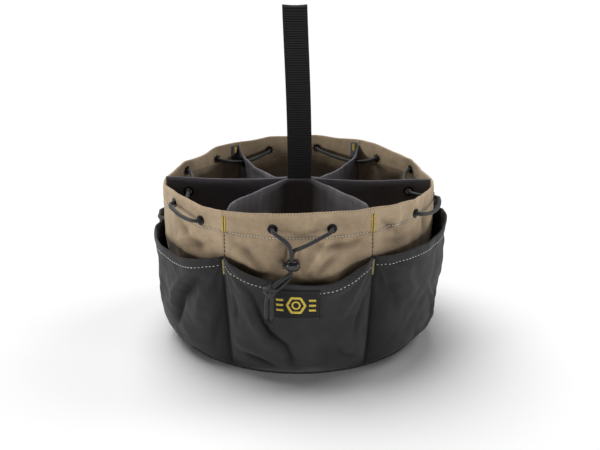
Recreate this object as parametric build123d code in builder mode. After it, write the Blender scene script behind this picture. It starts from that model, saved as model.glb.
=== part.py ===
"""Tool bucket organizer: a round canvas bag with outer pockets, crossed dividers,
a webbing handle and a drawstring with a cord lock.

Millimetres, +Z up. The origin is the centre of the underside, and the front
faces -Y. Azimuths are counted from +X, so the front is at -90 degrees."""

import math
import os

from build123d import *

# ---- driving sizes ----------------------------------------------------------

rim_radius = 143.0           # outside of the wall at the rim
base_inset = 12.0            # the wall leans in this much at the bottom
wall_height = 170.0          # underside of the bag to the rim
taper_height = 120.0         # above this the wall stands straight
wall_thickness = 2.0
hem_height = 22.0            # folded rim hem
hem_thickness = 3.0          # wall and folded hem together

panel_angle = 60.0           # one wall panel, seam to seam
panel_middles = {
    "front": -90.0,
    "front_right": -30.0,
    "back_right": 30.0,
    "back": 90.0,
    "back_left": 150.0,
    "front_left": 210.0,
}
seams = [middle - panel_angle / 2 for middle in panel_middles.values()]

base_thickness = 2.0
board_thickness = 2.5
binding_width = 3.0
binding_height = 5.0
binding_round = 1.35         # its outer edges are rounded

pocket_thickness = 1.5
pocket_height = 122.0        # at the seams
pocket_shoulder = 9.0        # degrees from a seam to the full bulge
shoulder_share = 0.85        # how much of the bulge is reached there
pocket_levels = [            # height, gap between wall and pocket
    (binding_height, 0.4),
    (20.0, 12.5),
    (60.0, 13.0),
    (pocket_height, 13.5),
]
pocket_dip = {               # how far each hem sags between its seams
    "front": 15.0,
    "front_right": 6.0,
    "back_right": 6.0,
    "back": 10.0,
    "back_left": 10.0,
    "front_left": 10.0,
}

sheet_thickness = 1.6        # divider cloth, two layers
divider_height = 163.0       # top of the dividers at the centre
flat_clearance = 0.8         # each side of the handle webbing
front_arm_rise = 8.0         # the front arms climb towards the wall
front_arm_corner = 12.0      # cut-off corner beside the wall
back_arm_dip = 13.0          # the back arms sag, then climb to the rim
back_arm_rise = 4.0
cross_dip = 2.0
cross_right_sag = 1.2        # halfway along each arm, as a share of the dip
cross_left_sag = 0.2
arm_overrun = 6.0            # the top edges run on past the wall
front_arm_shape = [          # share of the arm's reach, share of its rise
    (0.45, 0.8),
]
back_arm_shape = [           # share of the arm's reach, share of its dip
    (0.25, 0.6), (0.5, 0.9), (0.78, 1.0), (0.9, 0.25),
]

webbing_width = 25.4
webbing_thickness = 2.0
handle_top = 345.5
handle_gap = 11.0            # widest opening between the two legs
handle_fold_radius = 4.5     # outside of the fold at the top
handle_sewn_length = 120.0   # webbing held between the dividers
handle_slit = 0.4            # half the space between the legs where they meet

eyelet_bore = 5.0
eyelet_wall = 0.45
eyelet_flange = 9.6
eyelet_flange_thickness = 0.7
eyelet_star = 11.6
eyelet_petals = 8
petal_half_share = 0.38      # half the width of a petal, as a share of its length
petal_thickness = 0.5
rim_eyelet_places = [        # azimuth, height
    (-99.8, 157.0), (-77.2, 157.0),
    (-36.0, 153.0), (-9.0, 150.0),
    (26.8, 154.0), (49.7, 154.0),
    (81.3, 158.0), (104.3, 156.0),
    (132.3, 154.0), (153.3, 153.0),
    (-150.1, 160.0), (-131.5, 154.0),
]

grommet_bore = 6.4
grommet_wall = 0.5
grommet_flange = 10.6
grommet_flange_thickness = 0.7
grommet_height = 149.0
front_grommet_inset = 24.0   # from the wall, along the divider
back_grommet_inset = 14.0

cord_diameter = 3.6
bend_share = 0.45            # how much of the shorter leg beside a corner bends
knot_diameter = 11.0
knot_height = 15.0
knot_centre = (-27.0, -163.2, 103.6)

lock_channel = (-6.3, -149.7)  # where the lock's cord channel stands
lock_middle = 124.0
lock_height = 10.5
lock_depth = 12.8
lock_left = 5.8              # channel axis to the open end
lock_right = 8.0             # channel axis to the closed end
lock_edge_radius = 4.4
lock_wall = 1.2
cord_spacing = 3.9           # the two cords stand one behind the other
channel_clearance = 0.45
plunger_travel = 2.2
plunger_height = 5.0
plunger_clearance = 0.15
plunger_corner_share = 0.45  # corner radius, as a share of its height
window_clearance = 0.1       # between the cords and the plunger's window
bore_margin = 0.9            # the plunger's bore is this much wider, each side
button_length = 2.8
spring_radius = 1.6
spring_wire = 0.5
spring_turns = 3.0
spring_seat = 0.35           # from each end of the spring to what it bears on

bartack_width = 4.4
bartack_length = 18.0
bartack_thickness = 0.6
bartack_drop = 4.0           # below the rim
pocket_bartack_width = 2.6
pocket_bartack_length = 16.0
pocket_bartack_drop = 1.5    # below the pocket's hem
seam_slope = 0.6             # how steeply a pocket rises from its seam
tab_width = 9.0
tab_thickness = 1.2
tab_lift = 1.0               # above the lower edge of the rim hem

label_width = 45.0
label_height = 31.0
label_bottom = 70.0
label_offset = -2.2          # sideways from the front's middle
label_thickness = 1.2

sewn_gap = 0.05              # between faces that are sewn together
seat_gap = 0.15              # between a flat metal face and the curved wall
hinge_gap = 0.3              # between the handle and what it turns against
cut_overrun = 10.0           # how far a piece runs on before it is trimmed

# ---- sizes that follow ------------------------------------------------------

base_radius = rim_radius - base_inset
hem_bottom = wall_height - hem_height
inner_rim = rim_radius - hem_thickness
board_top = base_thickness + board_thickness
barrel_radius = eyelet_bore / 2 + eyelet_wall
grommet_radius = grommet_bore / 2 + grommet_wall
flat_half = webbing_width / 2 + flat_clearance
leg_middle = sheet_thickness / 2 + webbing_thickness / 2
outer_sheet_middle = sheet_thickness + webbing_thickness
hinge_height = divider_height + webbing_thickness + hinge_gap
handle_root = webbing_thickness              # half the two legs together
rim_bartack_bottom = wall_height - bartack_drop - bartack_length
pocket_bartack_bottom = pocket_height - pocket_bartack_drop - pocket_bartack_length
taper = (rim_radius - base_radius) / (taper_height - base_thickness)

# ---- shared geometry --------------------------------------------------------


def wall_radius(height):
    """Outside radius of the wall at a height."""
    return min(rim_radius, base_radius + taper * (height - base_thickness))


def polar(radius, azimuth, height=0.0):
    """A point given by its distance from the bag's axis, its azimuth and its height."""
    angle = math.radians(azimuth)
    return (radius * math.cos(angle), radius * math.sin(angle), height)


def radial_plane(radius, azimuth, height):
    """A plane that faces straight out from the bag's axis, with its Y axis up."""
    angle = math.radians(azimuth)
    return Plane(
        origin=polar(radius, azimuth, height),
        x_dir=(-math.sin(angle), math.cos(angle), 0),
        z_dir=(math.cos(angle), math.sin(angle), 0),
    )


def pocket_face(height, gap, inner_offset, thickness, middle):
    """The plan of one pocket at a height, as a face: two shoulders and a round middle."""
    radius = wall_radius(height) + inner_offset
    half = panel_angle / 2
    with BuildSketch(Plane.XY.offset(height)) as plan:
        with BuildLine():
            sides = []
            for extra in (0.0, thickness):
                full = radius + gap + extra
                shoulder = radius + extra + gap * shoulder_share
                inset = half - pocket_shoulder
                rise = (radius + extra + shoulder) / 2
                turn = half - pocket_shoulder / 2
                start = polar(radius + extra, middle - half)[:2]
                first = polar(shoulder, middle - inset)[:2]
                last = polar(shoulder, middle + inset)[:2]
                end = polar(radius + extra, middle + half)[:2]
                ThreePointArc(start, polar(rise, middle - turn)[:2], first)
                ThreePointArc(first, polar(full, middle)[:2], last)
                ThreePointArc(last, polar(rise, middle + turn)[:2], end)
                sides.append((start, end))
            Line(sides[0][0], sides[1][0])
            Line(sides[0][1], sides[1][1])
        make_face()
    return plan.sketch


def arm_frame(side, ahead):
    """Start point and unit direction of a divider arm, from the centre to its seam."""
    start = Vector(side * flat_half, ahead * outer_sheet_middle)
    seam = polar(rim_radius - wall_thickness, panel_angle)
    end = Vector(side * seam[0], ahead * seam[1])
    return start, end, (end - start).normalized()


def v_plan(ahead):
    """The centre line of a V divider, seen from above, run past the wall."""
    points = []
    for side in (-1, 1):
        start, end, along = arm_frame(side, ahead)
        points.append((start, end + along * cut_overrun))
    return [points[0][1], points[0][0], points[1][0], points[1][1]]


def grommet_plane(azimuth):
    """The plane of a divider's cloth where its grommet sits."""
    if azimuth in (0.0, 180.0):
        side = 1 if azimuth == 0.0 else -1
        place = (side * (rim_radius - wall_thickness - front_grommet_inset), 0, grommet_height)
        return Plane(origin=place, x_dir=(1, 0, 0), z_dir=(0, 1, 0))
    angle = math.radians(azimuth)
    side, ahead = math.copysign(1, math.cos(angle)), math.copysign(1, math.sin(angle))
    inset = front_grommet_inset if ahead < 0 else back_grommet_inset
    start, end, along = arm_frame(side, ahead)
    place = end - along * inset
    return Plane(
        origin=(place.X, place.Y, grommet_height),
        x_dir=(along.X, along.Y, 0),
        z_dir=(-along.Y, along.X, 0),
    )


def corner_radii(points):
    """Bend radius at each inner point of a cord's route."""
    radii = []
    for before, at, after in zip(points, points[1:], points[2:]):
        first, second = Vector(at) - Vector(before), Vector(after) - Vector(at)
        turn = math.radians(first.get_angle(second))
        radii.append(bend_share * min(first.length, second.length) / math.tan(turn / 2))
    return radii


def report_cord(name, points, radii, solid):
    """Print a cord's bends, and its volume against its section times its length."""
    path = FilletPolyline(*points, radius=radii, mode=Mode.PRIVATE)
    section = math.pi * cord_diameter**2 / 4
    print(name, "radii", [round(radius, 1) for radius in radii])
    print(name, "length", round(path.length, 1), "volume share",
          round(solid.volume / (section * path.length), 4))


os.makedirs("parts", exist_ok=True)


def save(piece, label):
    """Label a finished piece and write its STEP file."""
    piece.part.label = label
    export_step(piece.part, f"parts/{label}.step")


# ---- base -------------------------------------------------------------------

with BuildPart() as base_panel:
    with BuildSketch():
        Circle(base_radius)
    extrude(amount=base_thickness)
save(base_panel, "base_panel")

with BuildPart() as base_board:
    with BuildSketch(Plane.XY.offset(base_thickness)):
        Circle(base_radius - wall_thickness - seat_gap)
    extrude(amount=board_thickness)
save(base_board, "base_board")

with BuildPart() as base_binding:
    inner = wall_radius(binding_height) + sewn_gap
    with BuildSketch(Plane.XZ):
        with Locations((inner, 0)):
            section = Rectangle(binding_width, binding_height - sewn_gap,
                                align=(Align.MIN, Align.MIN))
        fillet(section.vertices().sort_by(Axis.X)[-2:], radius=binding_round)
    revolve(axis=Axis.Z)
save(base_binding, "base_binding")

# ---- wall panels ------------------------------------------------------------

for panel, middle in panel_middles.items():
    with BuildPart() as wall_panel:
        with BuildSketch(Plane.XZ):
            Polygon(
                (base_radius - wall_thickness, base_thickness),
                (base_radius, base_thickness),
                (rim_radius, taper_height),
                (rim_radius, wall_height),
                (inner_rim, wall_height),
                (inner_rim, hem_bottom),
                (rim_radius - wall_thickness, hem_bottom),
                (rim_radius - wall_thickness, taper_height),
                align=None,
            )
        revolve(axis=Axis.Z, revolution_arc=panel_angle)
        for azimuth, height in rim_eyelet_places:
            turn = (azimuth - middle + 180.0) % 360.0 - 180.0
            if abs(turn) < panel_angle / 2:
                with BuildSketch(radial_plane(0, turn + panel_angle / 2, height)):
                    Circle(barrel_radius + sewn_gap)
                extrude(amount=rim_radius + hem_thickness, mode=Mode.SUBTRACT)
    wall_panel.part = wall_panel.part.rotate(Axis.Z, middle - panel_angle / 2)
    save(wall_panel, f"wall_{panel}")

# ---- outer pockets ----------------------------------------------------------

for panel, middle in panel_middles.items():
    with BuildPart() as pocket:
        for height, gap in pocket_levels:
            add(pocket_face(height, gap, sewn_gap, pocket_thickness, middle))
        loft(ruled=True)
        half_chord = rim_radius * math.sin(math.radians(panel_angle / 2))
        dip = pocket_dip[panel]
        dip_radius = (half_chord**2 + dip**2) / (2 * dip)
        with BuildSketch(radial_plane(0, middle, pocket_height - dip + dip_radius)):
            Circle(dip_radius)
        extrude(amount=rim_radius * 2, mode=Mode.SUBTRACT)
    save(pocket, f"pocket_{panel}")

with BuildPart() as label_patch:
    for height, gap in pocket_levels[2:]:
        add(pocket_face(height, gap, sewn_gap + pocket_thickness + sewn_gap,
                        label_thickness, panel_middles["front"]))
    loft(ruled=True)
    with BuildSketch(Plane.XZ):
        with Locations((label_offset, label_bottom)):
            Rectangle(label_width, label_height, align=(Align.CENTER, Align.MIN))
    extrude(amount=rim_radius * 2, mode=Mode.INTERSECT)
save(label_patch, "label_patch")

# ---- dividers ---------------------------------------------------------------

with BuildPart() as room:
    gap = sewn_gap
    with BuildSketch(Plane.XZ):
        Polygon(
            (0, board_top + gap),
            (base_radius - wall_thickness - gap, board_top + gap),
            (rim_radius - wall_thickness - gap, taper_height),
            (rim_radius - wall_thickness - gap, hem_bottom - gap),
            (inner_rim - gap, hem_bottom - gap),
            (inner_rim - gap, wall_height + hem_height),
            (0, wall_height + hem_height),
            align=None,
        )
    revolve(axis=Axis.Z)

with BuildPart() as divider_cross:
    with BuildSketch(Plane.XZ):
        with BuildLine():
            half = rim_radius
            Line((-half, board_top), (half, board_top))
            Line((half, board_top), (half, divider_height - cross_dip))
            ThreePointArc((half, divider_height - cross_dip),
                          (half / 2, divider_height - cross_dip * cross_right_sag), (0, divider_height))
            ThreePointArc((0, divider_height), (-half / 2, divider_height - cross_dip * cross_left_sag),
                          (-half, divider_height + cross_dip))
            Line((-half, divider_height + cross_dip), (-half, board_top))
        make_face()
    extrude(amount=sheet_thickness / 2, both=True)
    add(room.part, mode=Mode.INTERSECT)
    for azimuth in (0.0, 180.0):
        with BuildSketch(grommet_plane(azimuth)):
            Circle(grommet_radius + sewn_gap)
        extrude(amount=sheet_thickness, both=True, mode=Mode.SUBTRACT)
save(divider_cross, "divider_cross")

reach = (rim_radius - wall_thickness) * math.cos(math.radians(panel_angle))
front_top = [                # sideways distance, height of the top edge
    (flat_half, divider_height),
    *[(reach * far, divider_height + front_arm_rise * up) for far, up in front_arm_shape],
    (reach - front_arm_corner / 2, divider_height + front_arm_rise),
    (reach + arm_overrun, divider_height + front_arm_rise - front_arm_corner),
]
back_top = [
    (flat_half, divider_height),
    *[(reach * far, divider_height - back_arm_dip * down) for far, down in back_arm_shape],
    (reach + arm_overrun, divider_height + back_arm_rise),
]

for label, ahead, top in (("divider_front", -1, front_top), ("divider_back", 1, back_top)):
    with BuildPart() as divider:
        with BuildSketch(Plane.XY.offset(board_top)):
            with BuildLine():
                Polyline(*v_plan(ahead))
            trace(line_width=sheet_thickness)
        extrude(amount=wall_height)
        with BuildSketch(Plane.XZ):
            left = [(-place, height) for place, height in reversed(top)]
            ceiling = wall_height * 2
            Polygon((-rim_radius, ceiling), (-rim_radius, top[-1][1]), *left, *top,
                    (rim_radius, top[-1][1]), (rim_radius, ceiling), align=None)
        extrude(amount=rim_radius * 2, both=True, mode=Mode.SUBTRACT)
        add(room.part, mode=Mode.INTERSECT)
        for azimuth in (panel_angle, 2 * panel_angle):
            with BuildSketch(grommet_plane(ahead * azimuth)):
                Circle(grommet_radius + sewn_gap)
            extrude(amount=sheet_thickness, both=True, mode=Mode.SUBTRACT)
    save(divider, label)

with BuildPart() as seam_tabs:
    beside = math.degrees((sheet_thickness + tab_width / 2) / inner_rim)
    for seam in seams:
        # each tab lies on the side of its seam that is nearer the back
        turn = beside if seam < panel_middles["back"] else -beside
        with BuildSketch(radial_plane(inner_rim - seat_gap, seam + turn, hem_bottom + tab_lift)):
            Rectangle(tab_width, bartack_length, align=(Align.CENTER, Align.MIN))
        extrude(amount=-tab_thickness)
save(seam_tabs, "seam_tabs")

# ---- handle -----------------------------------------------------------------

with BuildPart() as handle_anchor:
    for side in (-1, 1):
        with BuildSketch(Plane.XY.offset(divider_height - handle_sewn_length)):
            with Locations((0, side * leg_middle)):
                Rectangle(webbing_width, webbing_thickness)
        extrude(amount=handle_sewn_length)
save(handle_anchor, "handle_anchor")

with BuildPart() as handle_loop:
    middle_height = (hinge_height + handle_top) / 2
    with BuildSketch(Plane.YZ):
        for thickness, root, bottom, mode in (
            (0.0, handle_root, hinge_height, Mode.ADD),
            (webbing_thickness, handle_slit, hinge_height + webbing_width / 2, Mode.SUBTRACT),
        ):
            fold = handle_fold_radius - thickness
            shoulder = handle_top - handle_fold_radius
            belly = handle_gap / 2 + webbing_thickness - thickness
            with BuildLine():
                ThreePointArc((-root, bottom), (-belly, middle_height), (-fold, shoulder))
                ThreePointArc((-fold, shoulder), (0, shoulder + fold), (fold, shoulder))
                ThreePointArc((fold, shoulder), (belly, middle_height), (root, bottom))
                ThreePointArc((root, bottom), (0, bottom - root), (-root, bottom))
            make_face(mode=mode)
    extrude(amount=webbing_width / 2, both=True)
save(handle_loop, "handle_loop")

# ---- eyelets, grommets and bartacks -----------------------------------------

with BuildPart() as rim_eyelets:
    for azimuth, height in rim_eyelet_places:
        with BuildSketch(radial_plane(rim_radius, azimuth, height)):
            Circle(eyelet_flange / 2)
            Circle(eyelet_bore / 2, mode=Mode.SUBTRACT)
        extrude(amount=eyelet_flange_thickness)
        with BuildSketch(radial_plane(rim_radius, azimuth, height)):
            Circle(barrel_radius)
            Circle(eyelet_bore / 2, mode=Mode.SUBTRACT)
        extrude(amount=-(hem_thickness + seat_gap + petal_thickness))
        with BuildSketch(radial_plane(inner_rim - seat_gap, azimuth, height)):
            Circle(barrel_radius + eyelet_wall)
            with PolarLocations(barrel_radius, eyelet_petals):
                petal = eyelet_star / 2 - barrel_radius
                half_width = petal * petal_half_share
                Polygon((0, -half_width), (petal, 0), (0, half_width), align=None)
            Circle(eyelet_bore / 2, mode=Mode.SUBTRACT)
        extrude(amount=-petal_thickness)
save(rim_eyelets, "rim_eyelets")

with BuildPart() as divider_grommets:
    for azimuth in seams:
        seat = sheet_thickness / 2 + sewn_gap
        cloth = grommet_plane(azimuth)
        with BuildSketch(cloth):
            Circle(grommet_radius)
            Circle(grommet_bore / 2, mode=Mode.SUBTRACT)
        extrude(amount=seat + grommet_flange_thickness, both=True)
        for face in (seat, -seat - grommet_flange_thickness):
            with BuildSketch(cloth.offset(face)):
                Circle(grommet_flange / 2)
                Circle(grommet_bore / 2, mode=Mode.SUBTRACT)
            extrude(amount=grommet_flange_thickness)
save(divider_grommets, "divider_grommets")

with BuildPart() as rim_bartacks:
    for seam in seams:
        with BuildSketch(radial_plane(rim_radius + sewn_gap, seam, rim_bartack_bottom)):
            Rectangle(bartack_width, bartack_length, align=(Align.CENTER, Align.MIN))
        extrude(amount=bartack_thickness)
save(rim_bartacks, "rim_bartacks")

with BuildPart() as pocket_bartacks:
    rise = pocket_bartack_width / 2 * seam_slope
    seat = rim_radius + sewn_gap + pocket_thickness + rise
    for seam in seams:
        with BuildSketch(radial_plane(seat, seam, pocket_bartack_bottom)):
            Rectangle(pocket_bartack_width, pocket_bartack_length,
                      align=(Align.CENTER, Align.MIN))
        extrude(amount=bartack_thickness)
save(pocket_bartacks, "pocket_bartacks")

# ---- drawstring -------------------------------------------------------------

# The held run starts in one front eyelet and goes round the bag to the other:
# inside past each divider, outside between the two eyelets of a panel.
drawstring_route = [
    polar(141.5, -77.2, 157.0), polar(134.5, -77.2, 157.0),
    polar(126.7, -70.6, 152.0), polar(117.3, -63.0, 149.0),
    polar(117.5, -55.2, 149.0), polar(123.0, -45.7, 150.5),
    polar(134.5, -36.0, 153.0), polar(149.5, -36.0, 153.0),
    polar(151.5, -27.5, 148.5), polar(151.5, -18.0, 146.8),
    polar(149.5, -9.0, 150.0), polar(134.5, -9.0, 150.0),
    polar(117.7, -3.9, 149.2), polar(116.9, 3.9, 149.0),
    polar(118.9, 16.1, 150.5), polar(134.5, 26.8, 154.0),
    polar(149.5, 26.8, 154.0), polar(151.5, 34.5, 149.5),
    polar(151.3, 42.0, 149.3), polar(149.5, 49.7, 154.0),
    polar(134.5, 49.7, 154.0), polar(128.1, 56.0, 149.4),
    polar(126.4, 63.1, 149.0), polar(128.7, 72.1, 152.3),
    polar(134.5, 81.3, 158.0), polar(149.5, 81.3, 158.0),
    polar(151.5, 89.0, 152.5), polar(151.3, 97.0, 151.5),
    polar(149.5, 104.3, 156.0), polar(134.5, 104.3, 156.0),
    polar(130.7, 110.4, 151.8), polar(126.7, 116.8, 149.0),
    polar(127.9, 124.0, 149.2), polar(134.5, 132.3, 154.0),
    polar(149.5, 132.3, 154.0), polar(151.3, 139.3, 149.4),
    polar(151.3, 146.4, 149.0), polar(149.5, 153.3, 153.0),
    polar(134.5, 153.3, 153.0), polar(119.2, 163.9, 150.3),
    polar(117.1, 176.1, 149.0), polar(117.5, -176.1, 149.2),
    polar(120.7, -161.7, 153.6), polar(134.5, -150.1, 160.0),
    polar(149.5, -150.1, 160.0), polar(152.0, -144.0, 158.0),
    polar(152.0, -137.5, 155.0), polar(149.5, -131.5, 154.0),
    polar(134.5, -131.5, 154.0), polar(118.3, -124.7, 149.3),
    polar(116.5, -117.0, 149.0), polar(122.7, -108.3, 151.8),
    polar(134.5, -99.8, 157.0), polar(141.5, -99.8, 157.0),
]

# Each free end leaves its front eyelet, goes down through the cord lock and
# over the pocket's hem, and hangs from the knot.
left_end_route = [
    polar(141.5, -99.8, 157.0), polar(149.8, -99.8, 157.0),
    (-16.0, -151.6, 151.5), (-8.2, -152.2, 145.0),
    (-6.3, -151.65, 135.5), (-6.3, -151.65, 116.5),
    (-11.8, -156.4, 114.5), (-19.2, -162.4, 111.2),
    (-26.6, -164.6, 105.4), (-29.8, -163.0, 96.0),
    (-30.6, -162.0, 84.5), (-30.0, -161.5, 73.5),
]
right_end_route = [
    polar(141.5, -77.2, 157.0), polar(149.8, -77.2, 157.0),
    (22.6, -150.6, 152.6), (10.8, -151.6, 146.0),
    (0.6, -150.2, 140.6), (-6.3, -147.75, 137.6),
    (-6.3, -147.75, 114.9), (-9.6, -154.2, 110.6),
    (-16.8, -161.9, 106.9), (-24.2, -163.2, 101.4),
    (-25.6, -162.6, 91.6), (-25.2, -162.0, 82.0), (-26.0, -161.6, 72.4),
]

for label, route in (
    ("drawstring", drawstring_route),
    ("drawstring_end_left", left_end_route),
    ("drawstring_end_right", right_end_route),
):
    radii = corner_radii(route)
    with BuildPart() as cord:
        with BuildLine() as path:
            FilletPolyline(*route, radius=radii)
        with BuildSketch(Plane(origin=path.line @ 0, z_dir=path.line % 0)):
            Circle(cord_diameter / 2)
        sweep()
    report_cord(label, route, radii, cord.part)
    save(cord, label)

with BuildPart() as drawstring_knot:
    with BuildSketch(Plane.XZ):
        Ellipse(knot_diameter / 2, knot_height / 2)
        with Locations((knot_diameter / 2, 0)):
            Rectangle(knot_diameter, knot_height * 2, mode=Mode.SUBTRACT)
    revolve(axis=Axis.Z)
drawstring_knot.part = drawstring_knot.part.moved(Location(knot_centre))
save(drawstring_knot, "drawstring_knot")

# ---- cord lock --------------------------------------------------------------

channel_width = cord_diameter + 2 * channel_clearance
channel_length = cord_spacing + channel_width
bore_width = channel_length + 2 * bore_margin
lock_place = Location((lock_channel[0], lock_channel[1], lock_middle))
window_left = cord_diameter / 2 + window_clearance + plunger_travel
window_right = cord_diameter / 2 + window_clearance
plunger_left = lock_left + button_length
plunger_right = window_right + lock_wall
bore_right = lock_right - lock_wall

with BuildPart() as lock_body:
    with BuildSketch(Plane.YZ.offset(-lock_left)):
        Rectangle(lock_depth, lock_height)
    extrude(amount=lock_left + lock_right)
    fillet(lock_body.edges(), radius=lock_edge_radius)
    with BuildSketch(Plane.XY.offset(-lock_height)):
        SlotOverall(channel_length, channel_width, rotation=90)
    extrude(amount=lock_height * 2, mode=Mode.SUBTRACT)
    with BuildSketch(Plane.YZ.offset(-lock_left - button_length)):
        RectangleRounded(bore_width, plunger_height, plunger_height * plunger_corner_share)
    extrude(amount=button_length + lock_left + bore_right, mode=Mode.SUBTRACT)
lock_body.part = lock_body.part.moved(lock_place)
save(lock_body, "lock_body")

with BuildPart() as lock_plunger:
    with BuildSketch(Plane.YZ.offset(-plunger_left)):
        width = bore_width - 2 * plunger_clearance
        height = plunger_height - 2 * plunger_clearance
        RectangleRounded(width, height, height * plunger_corner_share)
    extrude(amount=plunger_left + plunger_right)
    with BuildSketch(Plane.XY.offset(-plunger_height)):
        with Locations(((window_right - window_left) / 2, 0)):
            Rectangle(window_left + window_right, channel_length)
    extrude(amount=plunger_height * 2, mode=Mode.SUBTRACT)
lock_plunger.part = lock_plunger.part.moved(lock_place)
save(lock_plunger, "lock_plunger")

with BuildPart() as lock_spring:
    start = plunger_right + spring_seat
    turns_length = bore_right - start - spring_seat
    with BuildLine() as coil:
        Helix(pitch=turns_length / spring_turns, height=turns_length, radius=spring_radius,
              center=(start, 0, 0), direction=(1, 0, 0))
    with BuildSketch(Plane(origin=coil.line @ 0, z_dir=coil.line % 0)):
        Circle(spring_wire / 2)
    sweep(is_frenet=True)
lock_spring.part = lock_spring.part.moved(lock_place)
save(lock_spring, "lock_spring")
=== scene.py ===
"""The looks of the tool bucket organizer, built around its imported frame.

Shapes are worked out in millimetres, in the frame's axes, and turned into metres
where a mesh or curve is made. Azimuths are in degrees from +X, and the front is at -90."""

import math
import random

import bmesh
import bpy
import numpy as np
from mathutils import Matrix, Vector, noise


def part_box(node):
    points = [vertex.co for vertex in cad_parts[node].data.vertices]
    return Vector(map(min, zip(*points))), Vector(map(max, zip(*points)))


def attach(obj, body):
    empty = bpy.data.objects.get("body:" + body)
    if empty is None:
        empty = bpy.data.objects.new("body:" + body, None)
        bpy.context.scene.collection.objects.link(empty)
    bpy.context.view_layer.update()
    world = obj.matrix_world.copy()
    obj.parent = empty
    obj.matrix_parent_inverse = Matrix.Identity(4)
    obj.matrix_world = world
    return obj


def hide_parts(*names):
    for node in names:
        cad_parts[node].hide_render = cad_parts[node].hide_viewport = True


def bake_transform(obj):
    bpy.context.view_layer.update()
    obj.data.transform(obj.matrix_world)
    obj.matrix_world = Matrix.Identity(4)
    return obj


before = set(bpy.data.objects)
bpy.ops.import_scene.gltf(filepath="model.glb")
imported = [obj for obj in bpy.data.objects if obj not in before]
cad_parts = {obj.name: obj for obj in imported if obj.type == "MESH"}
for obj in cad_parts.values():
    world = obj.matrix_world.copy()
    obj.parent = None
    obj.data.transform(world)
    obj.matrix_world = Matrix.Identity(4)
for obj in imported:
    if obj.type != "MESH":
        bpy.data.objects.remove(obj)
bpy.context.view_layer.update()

MM = 0.001


def low(node):
    """Lowest corner of a CAD node, in millimetres."""
    return np.array(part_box(node)[0]) / MM


def high(node):
    """Highest corner of a CAD node, in millimetres."""
    return np.array(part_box(node)[1]) / MM


# ---- sizes from the frame ---------------------------------------------------

rim_radius = -low("wall_front")[1]
wall_top = high("wall_front")[2]
wall_bottom = low("wall_front")[2]
base_radius = high("base_panel")[0]
base_top = high("base_panel")[2]
board_top = high("base_board")[2]
binding_top = high("base_binding")[2]
divider_top = high("divider_cross")[2]
divider_centre_top = high("handle_anchor")[2]
handle_bottom = low("handle_anchor")[2]
handle_top = high("handle_loop")[2]
webbing_width = high("handle_loop")[0] * 2
webbing_thickness = high("handle_anchor")[1] - 0.8
label_low, label_high = low("label_patch"), high("label_patch")
tab_bottom, tab_top = low("seam_tabs")[2], high("seam_tabs")[2]

# ---- sizes of the cloth -----------------------------------------------------

panels = {
    "front": -90.0,
    "front_right": -30.0,
    "back_right": 30.0,
    "back": 90.0,
    "back_left": 150.0,
    "front_left": 210.0,
}
panel_angle = 60.0
seam_count = 6
straight_above = 120.0       # the wall stands straight above this
hem_bottom = 148.0
canvas_thickness = 1.3
hem_thickness = 2.6
hem_ply = 0.9                # step at the lower edge of the folded hem
pocket_gap = [(2.5, 0.5), (6.0, 3.6), (10.0, 7.4), (15.0, 11.0), (21.0, 13.2),
              (32.0, 14.4), (60.0, 14.6), (90.0, 14.0), (122.0, 13.5)]
pocket_cloth = 1.3
pocket_hem = 8.0
seam_groove = 0.9
divider_thickness = 1.6
flat_half = 13.5             # half of the flat middle of each V divider
flat_ahead = 3.6             # its distance from the cross divider's middle
dash = 2.3                   # running stitches
dash_pitch = 3.3

eyelets = [                  # azimuth, height
    (-99.8, 157.0), (-77.2, 157.0), (-36.0, 153.0), (-9.0, 150.0),
    (26.8, 154.0), (49.7, 154.0), (81.3, 158.0), (104.3, 156.0),
    (132.3, 154.0), (153.3, 153.0), (-150.1, 160.0), (-131.5, 154.0),
]
eyelet_hole = 3.0
grommet_hole = 3.75
grommet_height = 149.0
front_grommet_inset = 24.0
back_grommet_inset = 14.0

rim_line = [                 # azimuth, height of the rim
    (-180, 161.5), (-164, 165.5), (-150, 170.0), (-141, 169.0), (-131.5, 167.5), (-120, 168.0),
    (-108, 169.6), (-99.8, 171.2), (-90, 171.4), (-77.2, 172.6), (-66, 171.2), (-60, 171.4),
    (-50, 168.6), (-36, 166.6), (-22, 163.2), (-9, 161.6), (0, 161.0), (13, 161.4),
    (26.8, 164.2), (38, 166.0), (49.7, 169.6), (60, 171.6), (70, 171.0), (81.3, 172.4),
    (93, 171.4), (104.3, 171.4), (113, 168.8), (120, 168.6), (132.3, 167.4), (142, 162.2),
    (153.3, 162.4), (167, 161.2),
]
pocket_line = [              # azimuth, height of the pocket hems
    (-180, 118.0), (-172, 114.0), (-162, 112.0), (-150, 114.6), (-140, 113.6), (-131, 117.0),
    (-124, 121.0), (-120, 122.5), (-115, 118.5), (-108, 113.5), (-100, 109.5), (-92, 106.8),
    (-82, 105.0), (-77, 107.0), (-72, 112.5), (-67, 118.0), (-60, 122.5), (-53, 123.6),
    (-41, 124.6), (-29, 124.6), (-17, 127.0), (-8, 132.5), (-3, 132.0), (0, 130.0),
    (8, 133.5), (20, 125.0), (30, 119.5), (45, 118.5), (56, 121.5), (60, 122.0),
    (72, 116.5), (88, 112.0), (102, 113.5), (114, 120.0), (120, 122.0), (130, 118.0),
    (144, 113.0), (158, 113.0), (170, 117.0),
]

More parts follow.
